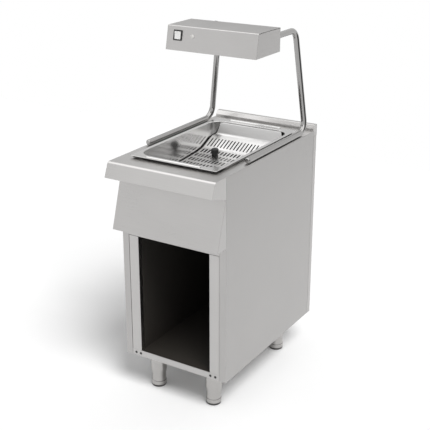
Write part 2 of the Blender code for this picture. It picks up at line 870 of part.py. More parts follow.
def build_insert():
    """Perforated false bottom that stands in the pan on folded feet."""
    outline = folded(insert_profile(), pan_sheet, [ramp_radius] * 3)
    insert = extruded([outline], "X", -insert_half_width, insert_half_width)
    foot_z = pan_floor_z + pan_sheet + clearance
    leg_reach = insert_half_width - insert_leg_setback
    add(insert, box((-leg_reach, insert_front_y, foot_z),
                    (leg_reach, insert_front_y + pan_sheet, insert_front_z - pan_sheet / 2)))
    for side in (-1, 1):
        xs = sorted((side * insert_half_width, side * (insert_half_width - pan_sheet)))
        add(insert, box((xs[0], knee[0] - insert_rear_foot_width, foot_z),
                        (xs[1], knee[0], knee[1] - pan_sheet / 2)))
    slots = []
    for row in range(slot_rows + 1):
        if row == 0:
            low_y, high_y = ramp_foot[0], ramp_foot[0] + ramp_slot_length
        else:
            high_y = ramp_foot[0] + slot_length - slot_row_pitch * row
            low_y = high_y - slot_length
        for column in range(slot_columns):
            middle_x = (column - (slot_columns - 1) / 2) * slot_pitch
            slots.append(rectangle((middle_x - slot_width / 2, low_y), (middle_x + slot_width / 2, high_y)))
    cut(insert, extruded(slots, "Z", insert_front_z - overrun, rim_top))
    for side_x in (-1, 1):
        for side_y in (-1, 1):
            corner = (side_x * pan_inner_width / 2, side_y * pan_back_y)
            triangle = [corner, (corner[0] - side_x * insert_corner_cut, corner[1]),
                        (corner[0], corner[1] - side_y * insert_corner_cut)]
            cut(insert, extruded([triangle], "Z", foot_z - overrun, rim_top + overrun))
    return set_origin(finish(insert, "perforated_insert", polished_steel), (0.0, 0.0, rim_top))


def build_knob():
    """Lifting knob of the insert."""
    low = clearance
    profile = [(0.0, low + knob_height), (knob_radius * knob_crown_share, low + knob_height),
               (knob_radius, low + knob_height - knob_radius * (1 - knob_crown_share)),
               (knob_radius, low + knob_neck_height + knob_radius * (1 - knob_crown_share)),
               (knob_neck_radius, low + knob_neck_height), (knob_neck_radius, low), (0.0, low)]
    knob = turned(profile)
    knob.location = (knob_x, knob_y, insert_surface_z(knob_y) + knob_lift)
    return smooth_modifiers(finish(knob, "insert_knob", black_plastic))


# Lamp stand
def tube_path(side, front_extra=0.0, rear_extra=0.0):
    """Centre line of a stand tube: along the worktop, up, and forward into the lamp."""
    corners = [(tube_run_x, tube_front_y - front_extra, tube_z), (tube_run_x, tube_foot_y, tube_z),
               (tube_top_x, tube_top_y, tube_entry_z),
               (tube_top_x, lamp_back_y - tube_in_lamp - rear_extra, tube_entry_z)]
    path = rounded_path(corners, [tube_bend_radius, tube_top_bend_radius], steps=5)
    return [mirrored(point, side) for point in path]


def build_stand_tube(name, side):
    """Bent tube with two fixing studs and an end collar welded on. The right one holds
    the lamp cable."""
    tube = round_tube(tube_path(side), tube_radius)
    stud_top = tube_z - tube_radius + tube_wall / 2
    for stud_y in (stud_front_y, stud_rear_y):
        add(tube, rod((side * tube_run_x, stud_y, worktop_height - stud_length),
                      (side * tube_run_x, stud_y, stud_top), stud_radius, sides=12))
    collar_y = lamp_back_y - lamp_sheet - clearance
    add(tube, rod((side * tube_top_x, collar_y - collar_length, tube_entry_z),
                  (side * tube_top_x, collar_y, tube_entry_z), collar_radius))
    cut(tube, round_tube(tube_path(side, overrun, overrun), tube_radius - tube_wall))
    if side > 0:
        cut(tube, rod((tube_run_x, cable_drop_y, tube_z - tube_radius - overrun),
                      (tube_run_x, cable_drop_y, tube_z), cable_hole_radius))
    return finish(smooth(tube), name, chrome)


def build_end_plug(name, side):
    stem = tube_radius - tube_wall - clearance
    profile = [(0.0, end_plug_dome), (tube_radius / 2, end_plug_dome * end_plug_dome_share),
               (tube_radius, 0.0), (stem, 0.0), (stem, -end_plug_length), (0.0, -end_plug_length)]
    plug = turned(profile)
    plug.rotation_euler = (math.pi / 2, 0.0, 0.0)
    plug.location = (side * tube_run_x, tube_front_y - clearance, tube_z)
    return smooth_modifiers(finish(plug, name, chrome))


def build_backing_plate(name, side):
    """Strip under the side panel's top flange with a weld nut for each stud of the tube."""
    high = side_top - panel_sheet - clearance
    low = high - backing_sheet
    xs = sorted((side * (half_width - panel_sheet - clearance), side * (tube_run_x - backing_reach)))
    plate = box((xs[0], stud_front_y - backing_end, low), (xs[1], stud_rear_y + backing_end, high))
    for stud_y in (stud_front_y, stud_rear_y):
        add(plate, rod((side * tube_run_x, stud_y, low - stud_nut_height),
                       (side * tube_run_x, stud_y, high - backing_sheet / 2), stud_nut_radius, sides=6))
        cut(plate, rod((side * tube_run_x, stud_y, low - stud_nut_height - overrun),
                       (side * tube_run_x, stud_y, high + overrun), stud_radius + clearance, sides=12))
    return finish(plate, name, plated_steel)


# Heat lamp
def lamp_face(height):
    """Depth of the lamp's slanted front at a height over its bottom edge."""
    return lamp_front_y + lamp_front_tilt * height / lamp_height


def face_frame(x, height):
    """Frame on the lamp's front: x across, y up the slanted face, z outwards."""
    up = Vector((0.0, lamp_front_tilt, lamp_height)).normalized()
    across = Vector((1.0, 0.0, 0.0))
    outwards = across.cross(up)
    place = Vector((x, lamp_face(height), lamp_bottom + height))
    rotation = Matrix((across, up, outwards)).transposed().to_4x4()
    return Matrix.Translation(place) @ rotation


def on_face(obj, x, height):
    obj.matrix_world = face_frame(x, height) @ obj.matrix_world
    return obj


def build_lamp_housing():
    """Sheet hood, open below, with a narrow hem round the opening."""
    top_y = lamp_face(lamp_height)
    outline = [(lamp_front_y, lamp_bottom), (lamp_back_y, lamp_bottom), (lamp_back_y, lamp_top),
               (top_y, lamp_top)]
    hood = extruded([outline], "X", -lamp_half_width, lamp_half_width)
    bevel = hood.modifiers.new("edges", "BEVEL")
    bevel.width = lamp_edge_radius
    bevel.segments = 2
    bevel.limit_method = "ANGLE"
    low_z, high_z = lamp_bottom + lamp_sheet, lamp_top - lamp_sheet
    inside = [(lamp_front_y + lamp_sheet, low_z), (lamp_back_y - lamp_sheet, low_z),
              (lamp_back_y - lamp_sheet, high_z), (top_y + lamp_sheet, high_z)]
    cut(hood, extruded([inside], "X", -lamp_half_width + lamp_sheet, lamp_half_width - lamp_sheet))
    cut(hood, box((-lamp_half_width + lamp_hem, lamp_front_y + lamp_hem, lamp_bottom - overrun),
                  (lamp_half_width - lamp_hem, lamp_back_y - lamp_hem, lamp_bottom + lamp_hem)))
    for side in (-1, 1):
        x = side * tube_top_x
        cut(hood, rod((x, lamp_back_y - overrun / 2, tube_entry_z), (x, lamp_back_y + overrun, tube_entry_z),
                      tube_radius + clearance))
    window = (switch_body_width / 2 + clearance, switch_body_height / 2 + clearance)
    cut(hood, on_face(box((-window[0], -window[1], -overrun / 2), (window[0], window[1], overrun)),
                      switch_x, switch_height_on_face))
    cut(hood, on_face(rod((0.0, 0.0, -overrun / 2), (0.0, 0.0, overrun), pilot_body_radius + clearance),
                      pilot_x, switch_height_on_face))
    return finish(hood, "lamp_housing", brushed_steel)


def build_reflector():
    """Polished trough over the heaters, hung on the ends of the hood."""
    half_flat = reflector_flat / 2
    points = [(reflector_front_y, reflector_low), (lamp_middle_y - half_flat, reflector_top),
              (lamp_middle_y + half_flat, reflector_top), (reflector_rear_y, reflector_low)]
    trough = extruded([folded(points[::-1], lamp_sheet)], "X", -reflector_half_length, reflector_half_length)
    half_tab = reflector_flat / 2 - lamp_sheet
    reach = lamp_half_width - lamp_sheet - clearance
    tab = box((-reach, lamp_middle_y - half_tab, reflector_top - lamp_sheet),
              (reach, lamp_middle_y + half_tab, reflector_top - lamp_sheet + reflector_tab_sheet))
    add(trough, tab)
    return finish(trough, "lamp_reflector", aluminium)


def heater_places():
    z = reflector_top - heater_drop
    return {"heater_front": (lamp_middle_y - heater_spacing / 2, z),
            "heater_rear": (lamp_middle_y + heater_spacing / 2, z)}


def build_heaters():
    for name, (y, z) in heater_places().items():
        heater = rod((-heater_half_length, y, z), (heater_half_length, y, z), heater_radius)
        finish(smooth(heater), name, quartz)


def build_holder(name, side):
    """Ceramic block at one end of the heaters, hung under the reflector."""
    high = reflector_top - lamp_sheet - clearance
    half = holder_width / 2 - lamp_sheet
    xs = sorted((side * (heater_half_length + clearance), side * (heater_half_length + holder_length)))
    block = box((xs[0], lamp_middle_y - half, high - holder_height), (xs[1], lamp_middle_y + half, high))
    return finish(block, name, ceramic)


def build_guard():
    """Wire guard under the heaters; its cross wires lie on the hood's hem."""
    cross_z = lamp_bottom + lamp_sheet + guard_wire_radius + clearance
    bar_z = cross_z - guard_drop
    reach = (lamp_front_y + lamp_sheet + guard_wire_radius, lamp_back_y - lamp_sheet - guard_wire_radius)
    cross_places = (-guard_half_length * guard_cross_share, 0.0, guard_half_length * guard_cross_share)
    guard = rod((cross_places[0], reach[0], cross_z), (cross_places[0], reach[1], cross_z),
                guard_wire_radius, sides=6)
    for x in cross_places[1:]:
        add(guard, rod((x, reach[0], cross_z), (x, reach[1], cross_z), guard_wire_radius, sides=6))
    for bar in range(guard_bars):
        y = lamp_middle_y + (bar - (guard_bars - 1) / 2) * guard_bar_spacing
        add(guard, rod((-guard_half_length, y, bar_z), (guard_half_length, y, bar_z),
                       guard_wire_radius, sides=6))
    return finish(guard, "lamp_guard", chrome)


# Switch and pilot light
def build_switch():
    """Bezel on the lamp's face, body behind it and a two-way rocker between them."""
    window = (rocker_width / 2 + rocker_play, rocker_height / 2 + rocker_play)
    bezel = box((-bezel_width / 2, -bezel_height / 2, clearance),
                (bezel_width / 2, bezel_height / 2, clearance + bezel_thickness))
    bevel = bezel.modifiers.new("edges", "BEVEL")
    bevel.width = bezel_thickness / 3
    bevel.segments = 2
    cut(bezel, on_face(box((-window[0], -window[1], -overrun), (window[0], window[1], overrun)),
                       switch_x, switch_height_on_face))
    finish(on_face(bezel, switch_x, switch_height_on_face), "switch_bezel", black_plastic)

    body = box((-switch_body_width / 2, -switch_body_height / 2, -switch_body_depth),
               (switch_body_width / 2, switch_body_height / 2, 0.0))
    cut(body, on_face(box((-window[0], -window[1], -rocker_depth), (window[0], window[1], overrun)),
                      switch_x, switch_height_on_face))
    finish(on_face(body, switch_x, switch_height_on_face), "switch_body", black_plastic)

    half = rocker_height / 2
    root = half * rocker_root_share
    low = -rocker_depth * rocker_root_share
    dish = half * math.tan(rocker_tilt) * rocker_dish_share
    outline = [(-half, rocker_stand), (-half, 0.0), (-root, low), (root, low), (half, 0.0),
               (half, rocker_stand), (0.0, rocker_stand - dish)]
    rocker = extruded([outline], "X", -rocker_width / 2, rocker_width / 2)
    rocker.data.transform(Matrix.Translation((0.0, 0.0, rocker_pivot_depth)))
    rocker.data.transform(Matrix.Rotation(rocker_tilt, 4, "X"))
    rocker.location = (0.0, 0.0, -rocker_pivot_depth)
    bpy.context.view_layer.update()
    finish(on_face(rocker, switch_x, switch_height_on_face), "switch_rocker", white_plastic)


def build_pilot():
    """Pilot light: a clear lens on the face and its lamp body behind."""
    profile = [(0.0, pilot_stand), (pilot_radius * pilot_crown_share, pilot_stand),
               (pilot_radius, pilot_stand * pilot_crown_share), (pilot_bezel_radius, clearance),
               (0.0, clearance)]
    lens = turned(profile)
    finish(on_face(lens, pilot_x, switch_height_on_face), "pilot_lens", pilot_glass)
    smooth_modifiers(lens)
    body = rod((0.0, 0.0, -pilot_body_depth), (0.0, 0.0, 0.0), pilot_body_radius)
    bpy.context.view_layer.update()
    finish(on_face(body, pilot_x, switch_height_on_face), "pilot_body", black_plastic)


# Wiring and supply
def terminal_block(name, middle, poles):
    """Screw terminals: a moulded block with one pocket for each pole."""
    half = (terminal_length / 2, terminal_width / 2)
    x, y, low = middle
    block = box((x - half[0], y - half[1], low), (x + half[0], y + half[1], low + terminal_height))
    pitch = terminal_length / poles
    for pole in range(poles):
        pole_x = x - half[0] + pitch * (pole + 0.5)
        cut(block, rod((pole_x, y, low + terminal_height / 2), (pole_x, y, low + terminal_height + overrun),
                       pitch / 4, sides=8))
    return finish(block, name, ceramic)


def build_supply_box():
    """Wiring box on the inside of the rear panel, with a cover on its front."""
    half_box, half_high = supply_box_width / 2, supply_box_height / 2
    rear = recess_inside_y
    low = (supply_box_x - half_box, rear - supply_box_depth, supply_box_z - half_high)
    high = (supply_box_x + half_box, rear, supply_box_z + half_high)
    sheet = supply_box_sheet
    shell = box(low, high)
    cut(shell, box((low[0] + sheet, low[1] - overrun, low[2] + sheet),
                   (high[0] - sheet, high[1] - sheet, high[2] - sheet)))
    cut(shell, rod((supply_box_x, rear - overrun, supply_box_z),
                   (supply_box_x, rear + overrun, supply_box_z), gland_radius + clearance))
    cut(shell, rod((supply_box_x, supply_terminal_y, high[2] - overrun),
                   (supply_box_x, supply_terminal_y, high[2] + overrun), cable_hole_radius))
    finish(shell, "supply_box", plated_steel)
    cover = box((low[0], low[1] - clearance - cover_sheet, low[2]), (high[0], low[1] - clearance, high[2]))
    finish(cover, "supply_box_cover", plated_steel)
    terminal_block("supply_terminals", (supply_box_x, supply_terminal_y, supply_terminal_z), 3)


def build_gland():
    """Cable gland of the supply inlet, locked from inside the box."""
    outside = recess_face_y + clearance
    inside = recess_inside_y - supply_box_sheet - clearance
    gland = rod((supply_box_x, inside - gland_nut_length, supply_box_z),
                (supply_box_x, outside + gland_head_length, supply_box_z), gland_radius)
    add(gland, rod((supply_box_x, outside, supply_box_z),
                   (supply_box_x, outside + gland_head_length * gland_hex_share, supply_box_z),
                   gland_head_radius, sides=6))
    add(gland, rod((supply_box_x, inside - gland_nut_length, supply_box_z),
                   (supply_box_x, inside, supply_box_z), gland_head_radius, sides=6))
    cut(gland, rod((supply_box_x, inside - gland_nut_length - overrun, supply_box_z),
                   (supply_box_x, outside + gland_head_length + overrun, supply_box_z), gland_bore))
    return finish(gland, "cable_gland", black_plastic)


def build_bonding_stud():
    """Earth bonding stud in the rear recess, with a nut on each side of the panel."""
    outside = recess_face_y + clearance
    inner_end = recess_inside_y - bonding_nut_length
    stud = rod((bonding_x, inner_end, bonding_z), (bonding_x, outside + bonding_stud_length, bonding_z),
               bonding_stud_radius, sides=12)
    for low_y in (inner_end, outside):
        add(stud, rod((bonding_x, low_y, bonding_z), (bonding_x, low_y + bonding_nut_length, bonding_z),
                      bonding_nut_radius, sides=6))
    return finish(stud, "bonding_stud", brass)


def build_cable():
    """Lamp cable: from the lamp's terminals down the right tube and back to the supply box."""
    start = (terminal_x + terminal_length / 2 + clearance, lamp_middle_y, terminal_z + terminal_height / 2)
    inside_tube = lamp_back_y - tube_in_lamp
    corners = [start, (tube_top_x - cable_bend, lamp_middle_y, start[2]),
               (tube_top_x, lamp_middle_y + cable_bend, tube_entry_z),
               (tube_top_x, inside_tube, tube_entry_z), (tube_top_x, tube_top_y, tube_entry_z),
               (tube_run_x, tube_foot_y, tube_z), (tube_run_x, cable_drop_y, tube_z),
               (tube_run_x, cable_drop_y, side_top - cable_below),
               (supply_box_x, supply_terminal_y, supply_box_z + supply_box_height / 2 + cable_below),
               (supply_box_x, supply_terminal_y, supply_terminal_z + terminal_height + clearance)]
    radii = [cable_bend, cable_bend, 0, tube_top_bend_radius, tube_bend_radius, cable_drop_bend,
             cable_bend, cable_bend]
    path = rounded_path(corners, radii, steps=3)
    return finish(smooth(round_tube(path, cable_radius, resolution=2)), "lamp_cable", cable_sheath)


# Assembly
build_side_panel("left_side_panel", -1)
build_side_panel("right_side_panel", 1)
build_rear_panel()
build_base_panel()
build_stile("left_stile", -1)
build_stile("right_stile", 1)
build_top_rail()
build_plugs()
build_liners()
build_fascia()
build_worktop()
build_cross_member("front_cross_member", frame_y + clearance)
build_cross_member("rear_cross_member", side_back_y - rear_member_setback)
build_bearer("front_leg_bearer", front_leg_y)
build_bearer("rear_leg_bearer", rear_leg_y)
for leg_name, leg_place in LEG_PLACES.items():
    build_leg("leg_" + leg_name, leg_place)
    build_foot("foot_" + leg_name, leg_place)
build_pan()
build_insert()
build_knob()
build_stand_tube("stand_tube_left", -1)
build_stand_tube("stand_tube_right", 1)
build_end_plug("stand_plug_left", -1)
build_end_plug("stand_plug_right", 1)
build_backing_plate("stand_backing_left", -1)
build_backing_plate("stand_backing_right", 1)
build_lamp_housing()
build_reflector()
build_heaters()
build_holder("heater_holder_left", -1)
build_holder("heater_holder_right", 1)
build_guard()
build_switch()
build_pilot()
terminal_block("lamp_terminals", (terminal_x, lamp_middle_y, terminal_z), 3)
build_supply_box()
build_gland()
build_bonding_stud()
build_cable()
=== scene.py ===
"""Looks of the chip warmer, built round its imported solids. Metres, +Z up, floor at z = 0."""
import json
import math

import bmesh
import bpy
from mathutils import Matrix, Vector

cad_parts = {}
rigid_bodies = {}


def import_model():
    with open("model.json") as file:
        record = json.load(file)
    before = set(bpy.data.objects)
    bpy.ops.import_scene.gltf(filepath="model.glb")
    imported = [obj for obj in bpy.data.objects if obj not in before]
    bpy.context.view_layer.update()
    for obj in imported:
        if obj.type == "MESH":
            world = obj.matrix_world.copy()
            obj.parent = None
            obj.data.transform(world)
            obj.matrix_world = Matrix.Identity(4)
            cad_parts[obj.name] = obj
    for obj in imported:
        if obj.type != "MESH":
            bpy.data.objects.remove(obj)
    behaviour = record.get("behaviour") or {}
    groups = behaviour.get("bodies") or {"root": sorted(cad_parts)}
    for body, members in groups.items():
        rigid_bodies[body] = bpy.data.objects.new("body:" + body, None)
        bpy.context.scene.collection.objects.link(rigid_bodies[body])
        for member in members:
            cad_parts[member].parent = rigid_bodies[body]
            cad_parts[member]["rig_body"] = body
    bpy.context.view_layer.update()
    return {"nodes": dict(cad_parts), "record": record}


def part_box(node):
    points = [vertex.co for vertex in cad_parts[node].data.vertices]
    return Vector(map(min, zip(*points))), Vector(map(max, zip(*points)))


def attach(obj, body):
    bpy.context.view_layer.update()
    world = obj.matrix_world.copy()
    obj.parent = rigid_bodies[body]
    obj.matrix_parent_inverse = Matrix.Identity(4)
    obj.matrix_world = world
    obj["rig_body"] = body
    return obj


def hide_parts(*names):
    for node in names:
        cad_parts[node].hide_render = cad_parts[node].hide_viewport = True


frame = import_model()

nodes = frame["nodes"]
node_slots = {part["node"]: part["material_slot"] for part in frame["record"]["subparts"]}

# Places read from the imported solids
worktop_low, worktop_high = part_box("worktop")
side_low, side_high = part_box("right_side_panel")
fascia_low, fascia_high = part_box("front_fascia")
pan_low, pan_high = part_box("gn_pan")
insert_low, insert_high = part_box("perforated_insert")
knob_low, knob_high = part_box("insert_knob")
lamp_low, lamp_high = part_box("lamp_housing")
guard_low, guard_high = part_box("lamp_guard")
bezel_low, bezel_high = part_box("switch_bezel")
pilot_low, pilot_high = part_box("pilot_lens")

# Sizes of the worktop
half_width = worktop_high.x
front_y = worktop_low.y
back_y = worktop_high.y
frame_y = side_low.y
worktop_height = 0.846
worktop_sheet = 0.0015
lip_height = 0.049
lip_setback = 0.020
lip_underside_drop = 0.025
lip_return_share = 0.305
lip_radius = 0.010
ledge_depth = 0.0275
ledge_radius = 0.003
ledge_riser = 0.007
ledge_seam = 0.0025
ledge_lean = 0.010
rear_skirt = 0.040
worktop_fold = 0.0012
cheek_setback = 0.0004
collar_height = 0.006
collar_steps = 16
front_setback = frame_y - front_y
stud_places = (-0.080, 0.130)
stud_hole = 0.0045
cable_hole = 0.005
cable_y = 0.205

# Sizes of the pan and insert
pan_sheet = 0.0012
pan_half = (0.150, 0.2385)
pan_corner = 0.050
pan_rim_corner = 0.008
pan_floor_fillet = 0.014
pan_mouth_fillet = 0.0022
pan_steps = 12
fillet_steps = 6
edge_steps = 4
cutout_play = 0.0015
bead_half = (0.103, 0.0060)
bead_rise = 0.0050
bead_y = 0.2588
bead_end_share = 0.98
rim_gap = 0.0035
rim_lean = 0.0055
rim_notch = 0.0045
rim_edge = 0.0012
rim_inner_edge = 0.0005
insert_fold = 0.012
insert_front_z = 0.747
insert_knee = (0.105, 0.7716)
insert_ramp_foot = (0.145, 0.779)
insert_ramp_top = (0.219, 0.813)
insert_front_reach = 0.095
insert_foot_length = 0.024
insert_gap = 0.004
insert_flange_play = 0.0012
insert_cut = 0.037
slot_widths = (0.0050, 0.0068)
slot_pitch = 0.0133
slot_columns = 21
slot_rows = 9
slot_length = 0.027
slot_row_pitch = 0.040
slot_row_gap = 0.009
ramp_slot_length = 0.043

# Sizes of the legs and feet
leg_radius = 0.025
leg_wall = 0.0015
leg_roof = 0.003
leg_stud_radius = 0.008
leg_cone = (0.065, 0.085)
leg_bore_radius = 0.0065
leg_bore_depth = 0.030
spindle_radius = 0.006
ring_top = 0.022
ring_bottom = 0.0083
sole_top = 0.0080
sole_setback = 0.0007

# Sizes of the stand and lamp
tube_radius = 0.010
tube_x = 0.189
tube_top_x = 0.1485
tube_front_y = -0.122
tube_foot_y = 0.276
tube_top_y = 0.262
tube_entry_z = 1.202
stud_radius = 0.004
stud_length = 0.030
stud_overlap = 0.0008
plug_dome = 0.004
plug_shoulder = 0.0036
plug_gap = 0.0002
plug_length = 0.012
tube_wall = 0.0015
tube_bend = 0.040
tube_top_bend = 0.032
tube_in_lamp = 0.024
tube_collar_radius = 0.0165
tube_collar_length = 0.010
lamp_tilt = 0.0164
lamp_sheet = 0.0010
lamp_hem = 0.008
lamp_fold = 0.004
hood_edge = 0.0006
heater_radius = 0.006
heater_wall = 0.0011
heater_cap = 0.016
coil_radius = 0.0032
coil_wire = 0.0006
coil_turns = 70
coil_steps = 8
wire_radius = 0.0015
wire_pitch = 0.022
wire_span = 0.86
face_height = 0.048
face_cut = 0.008

# Sizes of the switch and pilot light
switch_window = (0.0130, 0.0145)
bezel_half = (0.016, 0.017)
bezel_opening = (0.01265, 0.01365)
bezel_corner = 0.0025
bezel_front = 0.0033
bezel_edge = 0.001
rocker_half = (0.01175, 0.01275)
rocker_stand = 0.0035
rocker_root = 0.0056
rocker_dish = 0.0008
rocker_edge = 0.0005
rocker_axis = 0.001
rocker_turn = 7.0
pilot_hole = 0.0051
pilot_radius = 0.0055
pilot_flange = (0.0068, 0.0009)
pilot_top = (0.0025, 0.0023)
pilot_shoulder = (0.0040, 0.0012)

# Fine rounding
fold_radius = 0.0018
soft_edge = 0.0003
seat_gap = 0.0003
weld = 0.00001
flat_angle = 0.6


# Materials
def new_material(name, colour, roughness, metallic):
    """A principled material and its node tree."""
    material = bpy.data.materials.new(name)
    material.use_nodes = True
    tree = material.node_tree
    shader = tree.nodes["Principled BSDF"]
    shader.inputs["Base Color"].default_value = (*colour, 1.0)
    shader.inputs["Roughness"].default_value = roughness
    shader.inputs["Metallic"].default_value = metallic
    return material, tree, shader


def noise(tree, size, detail=3.0):
    """Noise whose features have the given sizes along X, Y and Z, in metres."""
    place = tree.nodes.new("ShaderNodeTexCoord")
    mapping = tree.nodes.new("ShaderNodeMapping")
    mapping.inputs["Scale"].default_value = [1.0 / length for length in size]
    texture = tree.nodes.new("ShaderNodeTexNoise")
    texture.inputs["Scale"].default_value = 1.0
    texture.inputs["Detail"].default_value = detail
    tree.links.new(place.outputs["Object"], mapping.inputs["Vector"])
    tree.links.new(mapping.outputs["Vector"], texture.inputs["Vector"])
    return texture.outputs["Fac"]


def blended(tree, first, second, share):
    """Mean of two values, with the given share of the second."""
    mix = tree.nodes.new("ShaderNodeMix")
    mix.inputs["Factor"].default_value = share
    tree.links.new(first, mix.inputs["A"])
    tree.links.new(second, mix.inputs["B"])
    return mix.outputs["Result"]


def spread(tree, value, low, high):
    """Map the middle of a noise onto a range."""
    ranged = tree.nodes.new("ShaderNodeMapRange")
    ranged.inputs["From Min"].default_value = 0.3
    ranged.inputs["From Max"].default_value = 0.7
    ranged.inputs["To Min"].default_value = low
    ranged.inputs["To Max"].default_value = high
    tree.links.new(value, ranged.inputs["Value"])
    return ranged.outputs["Result"]


def tinted(tree, value, dark, light):
    """Map the middle of a noise onto two colours."""
    ramp = tree.nodes.new("ShaderNodeValToRGB")
    ramp.color_ramp.elements[0].position = 0.3
    ramp.color_ramp.elements[0].color = (*dark, 1.0)
    ramp.color_ramp.elements[1].position = 0.7
    ramp.color_ramp.elements[1].color = (*light, 1.0)
    tree.links.new(value, ramp.inputs["Fac"])
    return ramp.outputs["Color"]


def relief(tree, shader, value, strength, distance):
    """Let a value raise and lower the surface."""
    bump = tree.nodes.new("ShaderNodeBump")
    bump.inputs["Strength"].default_value = strength
    bump.inputs["Distance"].default_value = distance
    tree.links.new(value, bump.inputs["Height"])
    tree.links.new(bump.outputs["Normal"], shader.inputs["Normal"])


def textured(name, colour, roughness, metallic, grain, patch=0.25, contrast=0.06, play=0.05,
             strength=0.1, distance=0.0001):
    """A material with a fine grain and large soft patches in colour, gloss and relief."""
    material, tree, shader = new_material(name, colour, roughness, metallic)
    strokes = noise(tree, grain)
    patches = noise(tree, (patch, patch, patch), detail=2.0)
    both = blended(tree, strokes, patches, 0.45)
    dark = [part * (1.0 - contrast) for part in colour]
    light = [min(1.0, part * (1.0 + contrast)) for part in colour]
    tree.links.new(tinted(tree, both, dark, light), shader.inputs["Base Color"])
    gloss = spread(tree, both, roughness - play, roughness + play)
    tree.links.new(gloss, shader.inputs["Roughness"])
    relief(tree, shader, strokes, strength, distance)
    return material, shader


STEEL = (0.500, 0.491, 0.484)
# Painted light: the lamp hood's steel is a slightly lighter copy of STEEL.
HOOD_STEEL_PAINTED_LIGHT = (0.502, 0.493, 0.486)
# Painted shade: the side panels' steel is a darker copy of STEEL, standing for the shade they reflect from
# the floor.
SIDE_STEEL_PAINTED_SHADE = (0.445, 0.437, 0.431)
# Painted light: the worktop's steel is a lighter copy of STEEL.
TOP_STEEL_PAINTED_LIGHT = (0.535, 0.526, 0.518)
BRUSHED_X, _ = textured("brushed_steel_across", STEEL, 0.31, 1.0, (0.060, 0.0004, 0.0004))
BRUSHED_Z, _ = textured("brushed_steel_upright", STEEL, 0.33, 1.0, (0.0004, 0.0004, 0.060))
# Painted light: lighter copy of the brushed steel for the worktop.
TOP_PAINTED_LIGHT, _ = textured("brushed_steel_top_painted_light", TOP_STEEL_PAINTED_LIGHT, 0.31, 1.0, (0.060, 0.0004, 0.0004))
# Painted shade: darker copy of the brushed steel for the side panels.
SIDE_PAINTED_SHADE, _ = textured("brushed_steel_side_painted_shade", SIDE_STEEL_PAINTED_SHADE, 0.33, 1.0, (0.0004, 0.0004, 0.060))
# Painted light: lighter copy of the brushed steel for the lamp hood.
HOOD_PAINTED_LIGHT, _ = textured("brushed_steel_hood_painted_light", HOOD_STEEL_PAINTED_LIGHT, 0.34, 1.0, (0.060, 0.0004, 0.0004))
# Painted shade: the legs' and feet's steel is darkened below STEEL, standing for the shade under the
# cabinet.
TURNED_PAINTED_SHADE, _ = textured("turned_steel_painted_shade", (0.45, 0.44, 0.43), 0.22, 1.0, (0.020, 0.020, 0.0004))
POLISHED, _ = textured("polished_steel", (0.58, 0.575, 0.57), 0.15, 1.0, (0.030, 0.002, 0.002),
                       contrast=0.04, play=0.04, strength=0.04)
SATIN, _ = textured("satin_steel", (0.64, 0.635, 0.63), 0.32, 1.0, (0.030, 0.0006, 0.0006),
                    contrast=0.05, play=0.05, strength=0.06)
# Painted shade: the chrome is much darker than chrome, standing for the dark surroundings that the tubes
# reflect.
CHROME_PAINTED_SHADE, _ = textured("chrome", (0.35, 0.345, 0.34), 0.09, 1.0, (0.010, 0.010, 0.010), contrast=0.02,
                     play=0.02, strength=0.01)
PLATED, _ = textured("plated_steel", (0.44, 0.44, 0.42), 0.40, 1.0, (0.006, 0.006, 0.006),
                     contrast=0.12, play=0.08)
ALUMINIUM, _ = textured("aluminium", (0.75, 0.75, 0.75), 0.20, 1.0, (0.050, 0.0006, 0.0006),
                        contrast=0.04)
# Painted shade: the near-black lining stands for the shade inside the open compartment.
LINING_PAINTED_SHADE, _ = textured("dark_lining", (0.022, 0.019, 0.016), 0.75, 0.0, (0.0008, 0.0008, 0.0008),
                     contrast=0.10, strength=0.15)
BLACK, _ = textured("black_plastic", (0.012, 0.012, 0.012), 0.42, 0.0, (0.0006, 0.0006, 0.0006),
                    contrast=0.10, strength=0.12)
SOLE, _ = textured("sole_plastic", (0.045, 0.043, 0.041), 0.50, 0.0, (0.0007, 0.0007, 0.0007),
                   contrast=0.12, strength=0.15)
WHITE, _ = textured("white_plastic", (0.86, 0.86, 0.85), 0.30, 0.0, (0.0006, 0.0006, 0.0006),
                    contrast=0.02, strength=0.05)
CERAMIC, _ = textured("ceramic", (0.74, 0.71, 0.64), 0.60, 0.0, (0.0012, 0.0012, 0.0012),
                      contrast=0.06, strength=0.25)
BRASS, _ = textured("brass", (0.66, 0.50, 0.22), 0.32, 1.0, (0.004, 0.0006, 0.004), contrast=0.08)
SHEATH, _ = textured("cable_sheath", (0.55, 0.53, 0.49), 0.62, 0.0, (0.001, 0.001, 0.001),
                     contrast=0.06, strength=0.20)
WINDING, _ = textured("heater_wire", (0.30, 0.24, 0.20), 0.45, 1.0, (0.001, 0.001, 0.001),
                      contrast=0.15)
QUARTZ, quartz_shader = textured("quartz", (0.95, 0.90, 0.86), 0.08, 0.0, (0.004, 0.004, 0.004),
                                 contrast=0.03, play=0.03, strength=0.03)
quartz_shader.inputs["Transmission Weight"].default_value = 0.85
quartz_shader.inputs["IOR"].default_value = 1.46
PILOT, pilot_shader = textured("pilot_glass", (0.80, 0.79, 0.76), 0.14, 0.0, (0.0012, 0.0012, 0.0012),
                               contrast=0.05, play=0.04, strength=0.06)
pilot_shader.inputs["Transmission Weight"].default_value = 0.25

